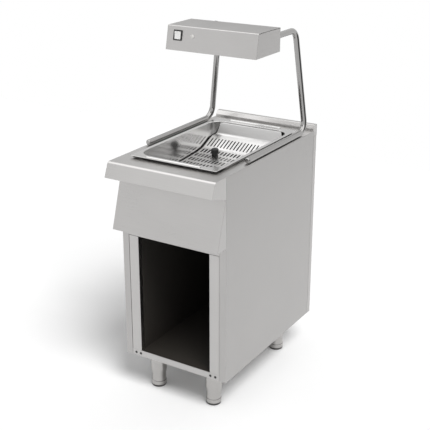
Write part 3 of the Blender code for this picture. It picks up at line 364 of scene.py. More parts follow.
SLOT_MATERIALS = {
    "brushed_steel": BRUSHED_X,
    "polished_steel": POLISHED,
    "plated_steel": PLATED,
    "chrome": CHROME_PAINTED_SHADE,
    "aluminium": ALUMINIUM,
    "dark_lining": LINING_PAINTED_SHADE,
    "black_plastic": BLACK,
    "white_plastic": WHITE,
    "quartz": QUARTZ,
    "pilot_glass": PILOT,
    "ceramic": CERAMIC,
    "brass": BRASS,
    "cable_sheath": SHEATH,
}
NODE_MATERIALS = {
    # Painted shade: the side panels take the darker copy of the steel.
    "left_side_panel": SIDE_PAINTED_SHADE,
    "right_side_panel": SIDE_PAINTED_SHADE,
    "left_stile": BRUSHED_Z,
    "right_stile": BRUSHED_Z,
    "rear_panel": BRUSHED_Z,
    # Painted light: the worktop takes the lighter copy of the steel.
    "worktop": TOP_PAINTED_LIGHT,
}


def finish_of(node):
    return NODE_MATERIALS.get(node, SLOT_MATERIALS[node_slots[node]])


for node_name, node_object in nodes.items():
    node_object.data.materials.clear()
    node_object.data.materials.append(finish_of(node_name))


# Pieces
def as_object(name, shape):
    """Put a bmesh in the scene and free it."""
    bmesh.ops.recalc_face_normals(shape, faces=shape.faces)
    mesh = bpy.data.meshes.new(name)
    shape.to_mesh(mesh)
    shape.free()
    obj = bpy.data.objects.new(name, mesh)
    bpy.context.scene.collection.objects.link(obj)
    return obj


def baked(obj):
    """Apply an object's modifiers to its mesh, and remove the cutters they used."""
    bpy.context.view_layer.update()
    evaluated = obj.evaluated_get(bpy.context.evaluated_depsgraph_get())
    mesh = bpy.data.meshes.new_from_object(evaluated)
    used = [modifier.object for modifier in obj.modifiers if modifier.type == "BOOLEAN"]
    obj.modifiers.clear()
    obj.data = mesh
    for other in used:
        bpy.data.objects.remove(other, do_unlink=True)
    return obj


def combined(obj, operation, others):
    """Join other meshes to an object, or cut them out of it."""
    for other in others:
        modifier = obj.modifiers.new(operation.lower(), "BOOLEAN")
        modifier.operation = operation
        modifier.solver = "EXACT"
        modifier.object = other
    return baked(obj)


def add(obj, *others):
    return combined(obj, "UNION", others)


def cut(obj, *others):
    return combined(obj, "DIFFERENCE", others)


def face_width(face):
    """Mean width of a long face."""
    return 2.0 * face.calc_area() / face.calc_perimeter()


def softened(obj, radius=fold_radius, edge_radius=soft_edge, sharp=38.0):
    """Round the folds of a sheet metal mesh, and soften the cut edges of the sheet. Nothing
    reaches past the cabinet's sides."""
    shape = bmesh.new()
    shape.from_mesh(obj.data)
    bmesh.ops.remove_doubles(shape, verts=shape.verts, dist=weld)
    bmesh.ops.dissolve_limit(shape, angle_limit=math.radians(flat_angle), verts=shape.verts,
                             edges=shape.edges)
    weights = shape.edges.layers.float.new("bevel_weight_edge")
    for edge in shape.edges:
        if len(edge.link_faces) != 2 or edge.calc_face_angle(0.0) < math.radians(sharp):
            continue
        narrow = min(face_width(face) for face in edge.link_faces) < 2 * radius
        edge[weights] = edge_radius / radius if narrow or not edge.is_convex else 1.0
    shape.to_mesh(obj.data)
    shape.free()
    bevel = obj.modifiers.new("folds", "BEVEL")
    bevel.limit_method = "WEIGHT"
    bevel.width = radius
    bevel.segments = 3
    bevel.use_clamp_overlap = False
    for vertex in baked(obj).data.vertices:
        vertex.co.x = max(-half_width, min(half_width, vertex.co.x))
    return smoothed(obj)


def smoothed(obj, sharp=42.0):
    """Smooth shading with sharp edges kept, and flat faces shaded flat."""
    obj.data.shade_smooth()
    obj.data.set_sharp_from_angle(angle=math.radians(sharp))
    normals = obj.modifiers.new("normals", "WEIGHTED_NORMAL")
    normals.keep_sharp = True
    return baked(obj)


def place(obj, material, slot, *stands_for, body=None):
    """Give a piece its material, and let it move with the node that it stands for. The slot is not used."""
    obj.data.materials.clear()
    obj.data.materials.append(material)
    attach(obj, body or nodes[stands_for[0]]["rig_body"])
    if stands_for:
        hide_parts(*stands_for)
    return obj


def fine(node):
    """A finer copy of a sheet metal node."""
    copy = bpy.data.objects.new(node + "_sheet", nodes[node].data.copy())
    bpy.context.scene.collection.objects.link(copy)
    return place(softened(copy), finish_of(node), node_slots[node], node)


# Outlines and lofts
def filleted(points, radii, steps=6):
    """A polyline whose inner corners are arcs of the given radii."""
    points = [Vector(point) for point in points]
    path = [points[0]]
    for before, corner, after, radius in zip(points, points[1:], points[2:], radii):
        if radius == 0:
            path.append(corner)
            continue
        to_before = (before - corner).normalized()
        to_after = (after - corner).normalized()
        half_angle = to_before.angle(to_after) / 2
        centre = corner + (to_before + to_after).normalized() * (radius / math.sin(half_angle))
        first = corner + to_before * (radius / math.tan(half_angle)) - centre
        turn = math.pi - 2 * half_angle
        for step in range(steps + 1):
            angle = turn * step / steps
            path.append(centre + first * math.cos(angle) - to_before * radius * math.sin(angle))
    path.append(points[-1])
    return path


def bent_sheet(name, points, thickness, radii, half_length):
    """A bent sheet along X. Its outer face follows the (y, z) points, and the sheet lies to
    the right of the direction of travel."""
    outer = filleted([(y, z, 0.0) for y, z in points], radii)
    shape = bmesh.new()
    rows = []
    for index, point in enumerate(outer):
        normals = []
        if index > 0:
            normals.append((point - outer[index - 1]).normalized())
        if index < len(outer) - 1:
            normals.append((outer[index + 1] - point).normalized())
        normals = [Vector((direction.y, -direction.x, 0.0)) for direction in normals]
        normal = sum(normals, Vector()).normalized()
        inner = point + normal * (thickness / normal.dot(normals[0]))
        rows.append([shape.verts.new((x, corner.x, corner.y))
                     for x, corner in ((-half_length, point), (half_length, point),
                                       (half_length, inner), (-half_length, inner))])
    joined_rings(shape, rows)
    shape.faces.new(rows[0])
    shape.faces.new(rows[-1][::-1])
    return as_object(name, shape)


def joined_rings(shape, rings):
    """Quads between closed rings of equally many vertices."""
    for ring, after in zip(rings, rings[1:]):
        count = len(ring)
        for index in range(count):
            follow = (index + 1) % count
            shape.faces.new((ring[index], ring[follow], after[follow], after[index]))


def rounded_ring(half_x, half_y, radius, steps):
    """Corner points of a rounded rectangle."""
    ring = []
    corners = ((1, 1, 0.0), (-1, 1, 0.5), (-1, -1, 1.0), (1, -1, 1.5))
    for side_x, side_y, start in corners:
        centre_x, centre_y = side_x * (half_x - radius), side_y * (half_y - radius)
        for step in range(steps + 1):
            angle = math.pi * (start + 0.5 * step / steps)
            ring.append((centre_x + radius * math.cos(angle), centre_y + radius * math.sin(angle)))
    return ring


def lofted(name, rings):
    """A closed body through rings of points, with a flat face at each end."""
    shape = bmesh.new()
    made = [[shape.verts.new(point) for point in ring] for ring in rings]
    joined_rings(shape, made)
    shape.faces.new(made[0][::-1])
    shape.faces.new(made[-1])
    return as_object(name, shape)


def prism(outline, low, high, name="prism"):
    """An outline of (x, y) pairs between two heights."""
    return lofted(name, [[(x, y, z) for x, y in outline] for z in (low, high)])


def along_x(outline, low, high, name="prism"):
    """An outline of (y, z) pairs between two places on X."""
    return lofted(name, [[(x, y, z) for y, z in outline] for x in (low, high)])


def block(low, high, name="block"):
    low, high = Vector(low), Vector(high)
    outline = [(low.x, low.y), (high.x, low.y), (high.x, high.y), (low.x, high.y)]
    return prism(outline, low.z, high.z, name)


def circle_ring(frame_matrix, radius, sides):
    ring = []
    for index in range(sides):
        angle = 2 * math.pi * index / sides
        ring.append(frame_matrix @ Vector((radius * math.cos(angle), radius * math.sin(angle), 0.0)))
    return ring


def turned(name, profile, matrix=Matrix(), steps=48):
    """Spin a profile of (radius, height) pairs about an axis. Both ends are on the axis."""
    shape = bmesh.new()
    first = shape.verts.new(matrix @ Vector((0.0, 0.0, profile[0][1])))
    last = shape.verts.new(matrix @ Vector((0.0, 0.0, profile[-1][1])))
    rings = []
    for radius, height in profile[1:-1]:
        ring = circle_ring(matrix @ Matrix.Translation((0.0, 0.0, height)), radius, steps)
        rings.append([shape.verts.new(point) for point in ring])
    joined_rings(shape, rings)
    for index in range(steps):
        follow = (index + 1) % steps
        shape.faces.new((first, rings[0][follow], rings[0][index]))
        shape.faces.new((last, rings[-1][index], rings[-1][follow]))
    return as_object(name, shape)


def rounded_profile(points, radii, steps=4):
    """A turned profile with rounded corners."""
    path = filleted([(radius, height, 0.0) for radius, height in points], radii, steps)
    return [(point.x, point.y) for point in path]


def path_frames(path):
    """Frames along a path that don't twist about it."""
    tangents = []
    for index, point in enumerate(path):
        before = path[max(index - 1, 0)]
        after = path[min(index + 1, len(path) - 1)]
        tangents.append((after - before).normalized())
    side = tangents[0].orthogonal().normalized()
    frames = []
    for point, tangent in zip(path, tangents):
        side = (side - tangent * side.dot(tangent)).normalized()
        rotation = Matrix((side, tangent.cross(side), tangent)).transposed().to_4x4()
        frames.append(Matrix.Translation(point) @ rotation)
    return frames


def swept(name, path, radius, sides=24, wall=0.0):
    """A round rod along a path, or a pipe where it has a wall."""
    frames = path_frames([Vector(point) for point in path])
    if wall == 0.0:
        return lofted(name, [circle_ring(place_frame, radius, sides) for place_frame in frames])
    shape = bmesh.new()
    rings = []
    for place_frame in frames:
        rings.append([shape.verts.new(point) for point in circle_ring(place_frame, radius, sides)])
    for place_frame in frames[::-1]:
        points = circle_ring(place_frame, radius - wall, sides)
        rings.append([shape.verts.new(point) for point in points])
    joined_rings(shape, rings + rings[:1])
    return as_object(name, shape)


def rod(start, end, radius, sides=24, name="rod"):
    return swept(name, [start, end], radius, sides)


# Cabinet
for sheet_node in ("left_side_panel", "right_side_panel", "rear_panel", "base_panel", "left_stile",
                   "right_stile", "top_rail", "front_fascia", "supply_box", "supply_box_cover",
                   "front_cross_member", "rear_cross_member"):
    fine(sheet_node)


def build_plug(node):
    """Domed plug in a fixing hole of the lower rail."""
    low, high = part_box(node)
    centre = (low + high) / 2
    radius, head = (high.x - low.x) / 2, 0.0008
    points = [(0.0, head), (radius * 0.7, head), (radius, 0.0), (radius * 0.8, 0.0),
              (radius * 0.8, low.y - high.y + head), (0.0, low.y - high.y + head)]
    profile = rounded_profile(points, [radius / 2, 0, 0, 0])
    turn = Matrix.Rotation(math.pi / 2, 4, "X")
    spot = Matrix.Translation((centre.x, low.y + head, centre.z))
    plug = turned(node + "_cap", profile, spot @ turn, steps=24)
    place(smoothed(plug), BLACK, "black_plastic", node)


for side_name in ("left", "right"):
    for end_name in ("inner", "outer"):
        build_plug("hinge_plug_" + side_name + "_" + end_name)


# Worktop
def build_worktop():
    """Top sheet with round folds, its closed ends, the collar round the pan and the slit at the
    ledge's foot."""
    lip_y = front_y + lip_setback
    lip_bottom = worktop_height - lip_height
    ledge_y, ledge_top = back_y - ledge_depth, worktop_high.z
    fascia_face = fascia_low.y + (fascia_high.z - fascia_low.z) * lip_return_share
    share = (fascia_face - front_y - seat_gap) / front_setback
    return_y = front_y + front_setback * share
    points = [(return_y, lip_bottom - lip_underside_drop * share), (front_y, lip_bottom),
              (lip_y, worktop_height), (ledge_y, worktop_height),
              (ledge_y, worktop_height + ledge_riser), (ledge_y + ledge_lean, ledge_top),
              (back_y, ledge_top), (back_y, ledge_top - rear_skirt)]
    radii = [fold_radius, lip_radius, soft_edge, ledge_radius, ledge_radius, ledge_radius]
    top = bent_sheet("worktop_sheet", points, worktop_sheet, radii, half_width)
    inset = worktop_sheet / 2
    top_z = worktop_height - inset
    lean = math.atan2(lip_height, lip_setback)
    cheek_back, end_front = frame_y - seat_gap, side_high.y + seat_gap
    fold = [(cheek_back, top_z, 0.0), (lip_y + inset * math.tan(lean / 2), top_z, 0.0),
            (front_y + inset / math.tan(lean) + inset / math.sin(lean), lip_bottom + inset, 0.0)]
    cheek = [(point.x, point.y) for point in filleted(fold, [lip_radius - inset])]
    cheek.append((cheek_back, lip_bottom - lip_underside_drop))
    skirt_z = ledge_top - rear_skirt
    end = [(ledge_y + inset, top_z), (end_front, top_z), (end_front, skirt_z),
           (back_y - inset, skirt_z), (back_y - inset, ledge_top - ledge_radius),
           (back_y - ledge_radius, ledge_top - inset),
           (ledge_y + ledge_lean + ledge_radius, ledge_top - inset),
           (ledge_y + ledge_lean, ledge_top - ledge_radius),
           (ledge_y + inset, worktop_height + ledge_riser)]
    inner_x, outer_x = half_width - worktop_sheet, half_width - cheek_setback
    for outline in (cheek, end):
        for side in (-1, 1):
            xs = sorted((side * inner_x, side * outer_x))
            add(top, along_x(outline, xs[0], xs[1]))
    hole_play = pan_sheet + cutout_play
    collar_play = hole_play + worktop_sheet
    under = worktop_height - worktop_sheet
    collar, hole = [rounded_ring(pan_half[0] + play, pan_half[1] + play, pan_corner + play, collar_steps)
                    for play in (collar_play, hole_play)]
    add(top, prism(collar, under, worktop_height + collar_height))
    cut(top, prism(hole, under - lip_radius, worktop_height + lip_setback))
    holes = [(side * tube_x, y, stud_hole) for side in (-1, 1) for y in stud_places]
    holes.append((tube_x, cable_y, cable_hole))
    for x, y, radius in holes:
        cut(top, rod((x, y, under - lip_radius), (x, y, worktop_height + lip_radius), radius))
    seam = half_width - lip_setback
    cut(top, block((-seam, ledge_y - ledge_seam - soft_edge, under - worktop_sheet),
                   (seam, ledge_y - soft_edge, worktop_height + worktop_sheet)))
    place(softened(top, radius=worktop_fold), TOP_PAINTED_LIGHT, "brushed_steel", "worktop")


build_worktop()


# Pan
def build_pan():
    """Pressed pan: round floor edges, a rounded mouth, a rim with a bead at the front and the
    back, and a skirt that leans in, notched at its corners."""
    rim = (pan_high.x, pan_high.y)
    top, bottom, floor = pan_high.z, pan_low.z, pan_low.z + pan_sheet
    skirt_bottom = worktop_height + rim_gap
    inner, sheet = pan_half, pan_sheet

    def ring(half, radius, z):
        return [(x, y, z) for x, y in rounded_ring(half[0], half[1], radius, pan_steps)]

    def inset(half, amount):
        return (half[0] - amount, half[1] - amount)

    def quarter(steps):
        return [math.pi / 2 * step / steps for step in range(steps + 1)]

    rings = []
    outer_fillet = pan_floor_fillet + sheet
    for angle in quarter(fillet_steps):
        shrink = outer_fillet * (1 - math.sin(angle))
        rings.append(ring(inset(inner, shrink - sheet), pan_corner + sheet - shrink,
                          bottom + outer_fillet * (1 - math.cos(angle))))
    rings.append(ring(inset(inner, -sheet), pan_corner + sheet, top - pan_mouth_fillet - sheet))
    rings.append(ring(inset(inner, -pan_mouth_fillet), pan_corner + pan_mouth_fillet, top - sheet))
    rings.append(ring(inset(rim, sheet + rim_inner_edge), pan_rim_corner - sheet, top - sheet))
    rings.append(ring(inset(rim, sheet), pan_rim_corner - sheet, top - sheet - rim_inner_edge))
    rings.append(ring(inset(rim, sheet + rim_lean), pan_rim_corner - sheet - rim_lean, skirt_bottom))
    rings.append(ring(inset(rim, rim_lean), pan_rim_corner - rim_lean, skirt_bottom))
    for angle in quarter(edge_steps):
        shrink = rim_edge * (1 - math.cos(angle))
        rings.append(ring(inset(rim, shrink), pan_rim_corner - shrink,
                          top - rim_edge * (1 - math.sin(angle))))
    for angle in quarter(edge_steps):
        grow = pan_mouth_fillet * (1 - math.sin(angle))
        rings.append(ring(inset(inner, -grow), pan_corner + grow,
                          top - pan_mouth_fillet * (1 - math.cos(angle))))
    for angle in quarter(fillet_steps):
        shrink = pan_floor_fillet * (1 - math.cos(angle))
        rings.append(ring(inset(inner, shrink), pan_corner - shrink,
                          floor + pan_floor_fillet * (1 - math.sin(angle))))
    pan = lofted("gn_pan_pressed", rings)
    for side in (-1, 1):
        bead = []
        for angle in quarter(fillet_steps):
            shrink = bead_half[1] * (1 - math.cos(angle))
            z = top - sheet / 2 + (bead_rise + sheet / 2) * math.sin(angle)
            half_y = bead_half[1] - shrink * bead_end_share
            outline = rounded_ring(bead_half[0] - shrink, half_y, half_y - weld, fillet_steps)
            bead.append([(x, y + side * bead_y, z) for x, y in outline])
        add(pan, lofted("bead", bead))
    for side_x in (-1, 1):
        for side_y in (-1, 1):
            spans = [sorted((side * size, side * (size - rim_notch)))
                     for side, size in ((side_x, rim[0]), (side_y, rim[1]))]
            cut(pan, block((spans[0][0], spans[1][0], skirt_bottom - rim_gap),
                           (spans[0][1], spans[1][1], top - rim_notch)))
    place(smoothed(pan), POLISHED, "polished_steel", "gn_pan")


build_pan()


# Insert
def build_insert():
    """Slotted false bottom with a ramp at the back, standing on folded feet."""
    half_x = insert_high.x - insert_gap
    front = (insert_low.y, insert_front_z)
    ramp_foot, knee = insert_ramp_foot, insert_knee
    points = [(pan_half[1] - insert_flange_play, insert_high.z), (insert_high.y, insert_high.z),
              insert_ramp_top, ramp_foot, knee, front]
    radii = [insert_fold] * 3 + [fold_radius]
    plate = bent_sheet("insert_sheet", points[::-1], pan_sheet, radii, half_x)
    foot_z, reach = insert_low.z, insert_front_reach
    add(plate, block((-reach, front[0], foot_z), (reach, front[0] + pan_sheet, front[1] - pan_sheet / 2)))
    for side in (-1, 1):
        xs = sorted((side * half_x, side * (half_x - pan_sheet)))
        add(plate, block((xs[0], knee[0] - insert_foot_length, foot_z),
                         (xs[1], knee[0], knee[1] - pan_sheet / 2)))
    for side_x in (-1, 1):
        for side_y in (-1, 1):
            corner = (side_x * pan_half[0], side_y * pan_half[1])
            triangle = [corner, (corner[0] - side_x * insert_cut, corner[1]),
                        (corner[0], corner[1] - side_y * insert_cut)]
            cut(plate, prism(triangle, foot_z - insert_fold, insert_high.z + insert_fold))
    shape = bmesh.new()
    for row in range(slot_rows + 1):
        slot_width = slot_widths[min(row, 1)]
        if row == 0:
            low_y, high_y = ramp_foot[0] + slot_row_gap, ramp_foot[0] + slot_row_gap + ramp_slot_length
        else:
            high_y = ramp_foot[0] - slot_row_gap - slot_row_pitch * (row - 1)
            low_y = high_y - slot_length
        for column in range(slot_columns):
            x = (column - (slot_columns - 1) / 2) * slot_pitch
            outline = rounded_ring(slot_width / 2, (high_y - low_y) / 2, slot_width / 2 - weld, 3)
            rings = [[shape.verts.new((x + u, (low_y + high_y) / 2 + v, z)) for u, v in outline]
                     for z in (front[1] - insert_fold, insert_high.z)]
            joined_rings(shape, rings)
            shape.faces.new(rings[0][::-1])
            shape.faces.new(rings[1])
    cut(plate, as_object("slots", shape))
    place(smoothed(plate, 35.0), SATIN, "polished_steel", "perforated_insert")


build_insert()


def build_knob():
    """Lifting knob with a waist and a rounded head."""
    centre = (knob_low + knob_high) / 2
    radius, height = (knob_high.x - knob_low.x) / 2, knob_high.z - knob_low.z
    points = [(0.0, height), (radius, height), (radius, height * 0.42), (radius * 0.82, height * 0.2),
              (radius * 0.82, 0.0), (0.0, 0.0)]
    profile = rounded_profile(points, [radius * 0.55, radius * 0.45, radius * 0.2, 0], steps=6)
    knob = turned("insert_knob_grip", profile, Matrix.Translation((centre.x, centre.y, knob_low.z)))
    place(smoothed(knob), BLACK, "black_plastic", "insert_knob")


build_knob()


# Legs and feet
def build_leg(place_name):
    """Leg tube under its socket, and the foot's steel ring, spindle and dark sole."""
    low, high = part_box("leg_" + place_name)
    centre = (low + high) / 2
    spot = Matrix.Translation((centre.x, centre.y, 0.0))
    socket = (high.x - low.x) / 2
    stud, tube, inside, bore = leg_stud_radius, leg_radius, leg_radius - leg_wall, leg_bore_radius
    top, bore_top = side_low.z - seat_gap, low.z + leg_bore_depth
    points = [(0.0, high.z), (stud, high.z), (stud, top), (socket, top), (socket, top - leg_cone[0]),
              (tube, top - leg_cone[1]), (tube, low.z), (bore, low.z), (bore, bore_top),
              (inside, bore_top), (inside, top - leg_roof), (0.0, top - leg_roof)]
    radii = [0.001, 0, 0.0015, 0.006, 0.006, 0.0005, 0, 0, 0, 0]
    leg = turned("leg_" + place_name + "_tube", rounded_profile(points, radii), spot)
    place(smoothed(leg), TURNED_PAINTED_SHADE, "brushed_steel", "leg_" + place_name)
    foot_low, foot_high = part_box("foot_" + place_name)
    ring = (foot_high.x - foot_low.x) / 2
    points = [(0.0, foot_high.z), (spindle_radius, foot_high.z), (spindle_radius, ring_top),
              (ring, ring_top), (ring, ring_bottom), (0.0, ring_bottom)]
    profile = rounded_profile(points, [0.001, 0, 0.0012, 0.0006])
    steel = turned("foot_" + place_name + "_ring", profile, spot)
    place(smoothed(steel), TURNED_PAINTED_SHADE, "brushed_steel", "foot_" + place_name)
    sole = ring - sole_setback
    points = [(0.0, sole_top), (sole, sole_top), (sole, 0.0), (0.0, 0.0)]
    pad = turned("foot_" + place_name + "_sole", rounded_profile(points, [0.0005, 0.004]), spot)
    place(smoothed(pad), SOLE, "black_plastic", body="foot_" + place_name)


for leg_name in ("front_left", "front_right", "rear_left", "rear_right"):
    build_leg(leg_name)


# Lamp stand
def tube_path(side):
    """Centre line of a stand tube."""
    z = worktop_height + tube_radius + seat_gap
    corners = [(tube_x, tube_front_y, z), (tube_x, tube_foot_y, z), (tube_top_x, tube_top_y, tube_entry_z),
               (tube_top_x, lamp_high.y - tube_in_lamp, tube_entry_z)]
    path = filleted(corners, [tube_bend, tube_top_bend], steps=14)
    return [Vector((side * point.x, point.y, point.z)) for point in path]


def build_stand(side_name, side):
    """Bent tube with its studs and end collar, and the domed plug in its front end."""
    path = tube_path(side)
    tube = swept("stand_tube_" + side_name + "_pipe", path, tube_radius, sides=40, wall=tube_wall)
    entry = path[-1]
    collar_back = lamp_high.y + seat_gap
    start = (entry.x, collar_back, entry.z)
    end = (entry.x, collar_back + tube_collar_length, entry.z)
    collar = cut(rod(start, end, tube_collar_radius, 40),
                 rod((entry.x, collar_back - tube_radius, entry.z), (entry.x, end[1] + tube_radius, entry.z),
                     tube_radius - tube_wall / 2, 40))
    studs = [rod((path[0].x, y, worktop_height - stud_length),
                 (path[0].x, y, path[0].z - tube_radius + stud_overlap), stud_radius) for y in stud_places]
    add(tube, collar, *studs)
    place(smoothed(tube, 35.0), CHROME_PAINTED_SHADE, "chrome", "stand_tube_" + side_name)
    radius = tube_radius
    points = [(0.0, plug_dome), (radius * 0.75, plug_shoulder), (radius, -plug_gap),
              (radius * 0.8, -plug_gap), (radius * 0.8, -plug_length), (0.0, -plug_length)]
    profile = rounded_profile(points, [radius * 0.3, 0.0006, 0, 0.0005])
    turn = (Matrix.Translation(path[0] + Vector((0.0, -seat_gap, 0.0)))
            @ Matrix.Rotation(math.pi / 2, 4, "X"))
    plug = turned("stand_plug_" + side_name + "_dome", profile, turn, steps=40)
    place(smoothed(plug), CHROME_PAINTED_SHADE, "chrome", "stand_plug_" + side_name)


build_stand("left", -1)
build_stand("right", 1)


# Heat lamp
def face_frame(x, height):
    """Frame on the lamp's slanted front: x across, y up the face, z outwards."""
    size = lamp_high - lamp_low
    up = Vector((0.0, lamp_tilt, size.z)).normalized()
    across = Vector((1.0, 0.0, 0.0))
    spot = Vector((x, lamp_low.y + lamp_tilt * height / size.z, lamp_low.z + height))
    rotation = Matrix((across, up, across.cross(up))).transposed().to_4x4()
    return Matrix.Translation(spot) @ rotation


def on_face(obj, x, height=face_height):
    """Move a mesh from its own frame onto the lamp's front."""
    obj.data.transform(face_frame(x, height))
    return obj


switch_x = (bezel_low.x + bezel_high.x) / 2
pilot_x = (pilot_low.x + pilot_high.x) / 2


def folded(outline, radius):
    """The closed hood outline with its upper corners rounded."""
    points = [(y, z, 0.0) for y, z in outline + outline[:1]]
    return [(point.x, point.y) for point in filleted(points, [0, radius, radius])][:-1]


def build_housing():
    """Folded hood with rounded upper edges, open below, with a hem round the opening and holes
    for what it carries."""
    top_y = lamp_low.y + lamp_tilt
    outline = [(lamp_low.y, lamp_low.z), (lamp_high.y, lamp_low.z), (lamp_high.y, lamp_high.z),
               (top_y, lamp_high.z)]
    sheet = lamp_sheet
    inside = [(lamp_low.y + sheet, lamp_low.z + sheet), (lamp_high.y - sheet, lamp_low.z + sheet),
              (lamp_high.y - sheet, lamp_high.z - sheet), (top_y + sheet, lamp_high.z - sheet)]
    hood = along_x(folded(outline, lamp_fold), lamp_low.x, lamp_high.x, "lamp_housing_hood")
    cut(hood, along_x(folded(inside, lamp_fold - sheet), lamp_low.x + sheet, lamp_high.x - sheet))
    cut(hood, block((lamp_low.x + lamp_hem, lamp_low.y + lamp_hem, lamp_low.z - lamp_hem),
                    (lamp_high.x - lamp_hem, lamp_high.y - lamp_hem, lamp_low.z + lamp_hem)))
    for side in (-1, 1):
        entry = tube_path(side)[-1]
        cut(hood, rod((entry.x, lamp_high.y - lamp_hem, entry.z), (entry.x, lamp_high.y + lamp_hem, entry.z),
                      tube_radius + seat_gap, 40))
    window = block((-switch_window[0], -switch_window[1], -face_cut), (*switch_window, face_cut))
    cut(hood, on_face(window, switch_x))
    cut(hood, on_face(rod((0.0, 0.0, -face_cut), (0.0, 0.0, face_cut), pilot_hole), pilot_x))
    place(softened(hood, radius=hood_edge), HOOD_PAINTED_LIGHT, "brushed_steel", "lamp_housing")


build_housing()
fine("lamp_reflector")


def build_heater(node):
    """Clear quartz tube with ceramic end caps and a wound wire inside."""
    low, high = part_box(node)
    centre = (low + high) / 2
    ends = (low.x + heater_cap, high.x - heater_cap)
    tube = swept(node + "_tube", [(ends[0], centre.y, centre.z), (ends[1], centre.y, centre.z)],
                 heater_radius, 32, wall=heater_wall)
    place(smoothed(tube), QUARTZ, "quartz", node)
    caps = []
    for start, end in ((low.x, ends[0]), (ends[1], high.x)):
        caps.append(rod((start, centre.y, centre.z), (end, centre.y, centre.z), heater_radius, 32))
    place(smoothed(add(caps[0], caps[1])), CERAMIC, "ceramic", body="cabinet").name = node + "_caps"
    turns = []
    length = ends[1] - ends[0]
    count = coil_turns * coil_steps
    for index in range(count + 1):
        angle = 2 * math.pi * index / coil_steps
        turns.append((ends[0] + length * index / count, centre.y + coil_radius * math.cos(angle),
                      centre.z + coil_radius * math.sin(angle)))
    coil = swept(node + "_coil", turns, coil_wire, 5)
    place(smoothed(coil), WINDING, "quartz", body="cabinet")


build_heater("heater_front")
build_heater("heater_rear")


def build_guard():
    """Welded wire guard of round wires."""
    centre_y = (guard_low.y + guard_high.y) / 2
    cross_z, bar_z = guard_high.z - wire_radius, guard_low.z + wire_radius
    wires = []
    for step in range(-2, 3):
        y = centre_y + step * wire_pitch
        wires.append(rod((guard_low.x, y, bar_z), (guard_high.x, y, bar_z), wire_radius, 12))
    for step in range(-1, 2):
        x = step * guard_high.x * wire_span
        wires.append(rod((x, guard_low.y, cross_z), (x, guard_high.y, cross_z), wire_radius, 12))
    guard = add(wires[0], *wires[1:])
    guard.name = "lamp_guard_wires"
    place(smoothed(guard), CHROME_PAINTED_SHADE, "chrome", "lamp_guard")


build_guard()


# Switch and pilot light
def rounded_plate(name, half, corner, low, high, edge):
    """A plate with round corners and a rounded upper edge, in its own frame."""
    rings = [[(x, y, low) for x, y in rounded_ring(half[0], half[1], corner, 6)]]
    for step in range(5):
        angle = math.pi / 2 * step / 4
        shrink = edge * (1 - math.cos(angle))
        outline = rounded_ring(half[0] - shrink, half[1] - shrink, corner - shrink, 6)
        rings.append([(x, y, high - edge * (1 - math.sin(angle))) for x, y in outline])
    return lofted(name, rings)


def build_switch():
    """Bezel round its opening, and the dished rocker tilted to one stop."""
    bezel = rounded_plate("switch_bezel_frame", bezel_half, bezel_corner, seat_gap, bezel_front, bezel_edge)
    cut(bezel, block((-bezel_opening[0], -bezel_opening[1], -face_cut), (*bezel_opening, face_cut)))
    place(smoothed(on_face(bezel, switch_x)), BLACK, "black_plastic", "switch_bezel")
    half, stand, root = rocker_half[1], rocker_stand, rocker_half[1] * 0.62
    outline = [(-half, stand), (-half, 0.0), (-root, -rocker_root), (root, -rocker_root), (half, 0.0),
               (half, stand)]
    dish = []
    for step in range(1, 12):
        share = step / 12
        dish.append((half * (1 - 2 * share), stand - rocker_dish * math.sin(math.pi * share)))
    rocker = along_x(outline + dish, -rocker_half[0], rocker_half[0], "switch_rocker_cap")
    bevel = rocker.modifiers.new("edges", "BEVEL")
    bevel.width = rocker_edge
    bevel.segments = 3
    bevel.limit_method = "ANGLE"
    bevel.angle_limit = math.radians(40)
    baked(rocker)
    turn = Matrix.Rotation(math.radians(rocker_turn), 4, "X")
    rocker.data.transform(turn @ Matrix.Translation((0.0, 0.0, rocker_axis)))
    rocker.data.transform(Matrix.Translation((0.0, 0.0, -rocker_axis)))
    place(smoothed(on_face(rocker, switch_x)), WHITE, "white_plastic", "switch_rocker")


def build_pilot():
    """Domed lens with a thin flange."""
    points = [(0.0, pilot_top[0]), (pilot_shoulder[0], pilot_top[1]), (pilot_radius, pilot_shoulder[1]),
              pilot_flange, (pilot_flange[0], seat_gap), (0.0, seat_gap)]
    lens = turned("pilot_lens_dome", rounded_profile(points, [0.002, 0.0004, 0.0002, 0]), steps=32)
    place(smoothed(on_face(lens, pilot_x)), PILOT, "pilot_glass", "pilot_lens")


build_switch()
build_pilot()


# Stage
AMBIENT = 0.48
FLOOR_WHITE = 0.95
FLOOR_LOW = (-12.0, -4.0, -0.02)
FLOOR_HIGH = (2.2, 2.6, 0.0)
SUN_TOWARDS = (0.50, -0.30, 0.81)
SUN_STRENGTH = 2.40
SUN_ANGLE = 26.0
FLAG_AXIS = (0.96, 0.28)
RIGHT_FLAG = (0.77, 0.87, 0.88)
REAR_FLAG = (0.20, 0.45, 0.80)
REAR_SIDE = (-0.1, 0.2)
REAR_HORIZON = (0.08, 0.30, 0.80)
OVERHEAD = (0.56, 0.72, 0.90)
CAMERA_PLACE = (1.55095, -2.52151, 1.73622)
CAMERA_PITCH, CAMERA_AZIMUTH, CAMERA_ROLL = 0.36775, 0.55795, 0.0022
CAMERA_LENS, CAMERA_SENSOR = 77.512, 36.0
CAMERA_SHIFT = (0.00985, 0.00062)


def build_floor():
    """Pale floor that runs out of the picture behind and beside the object."""
    floor = block(FLOOR_LOW, FLOOR_HIGH, "floor")
    pale, _, shader = new_material("floor_white", (FLOOR_WHITE, FLOOR_WHITE, FLOOR_WHITE), 0.9, 0.0)
    shader.inputs["Specular IOR Level"].default_value = 0.0
    floor.data.materials.append(pale)


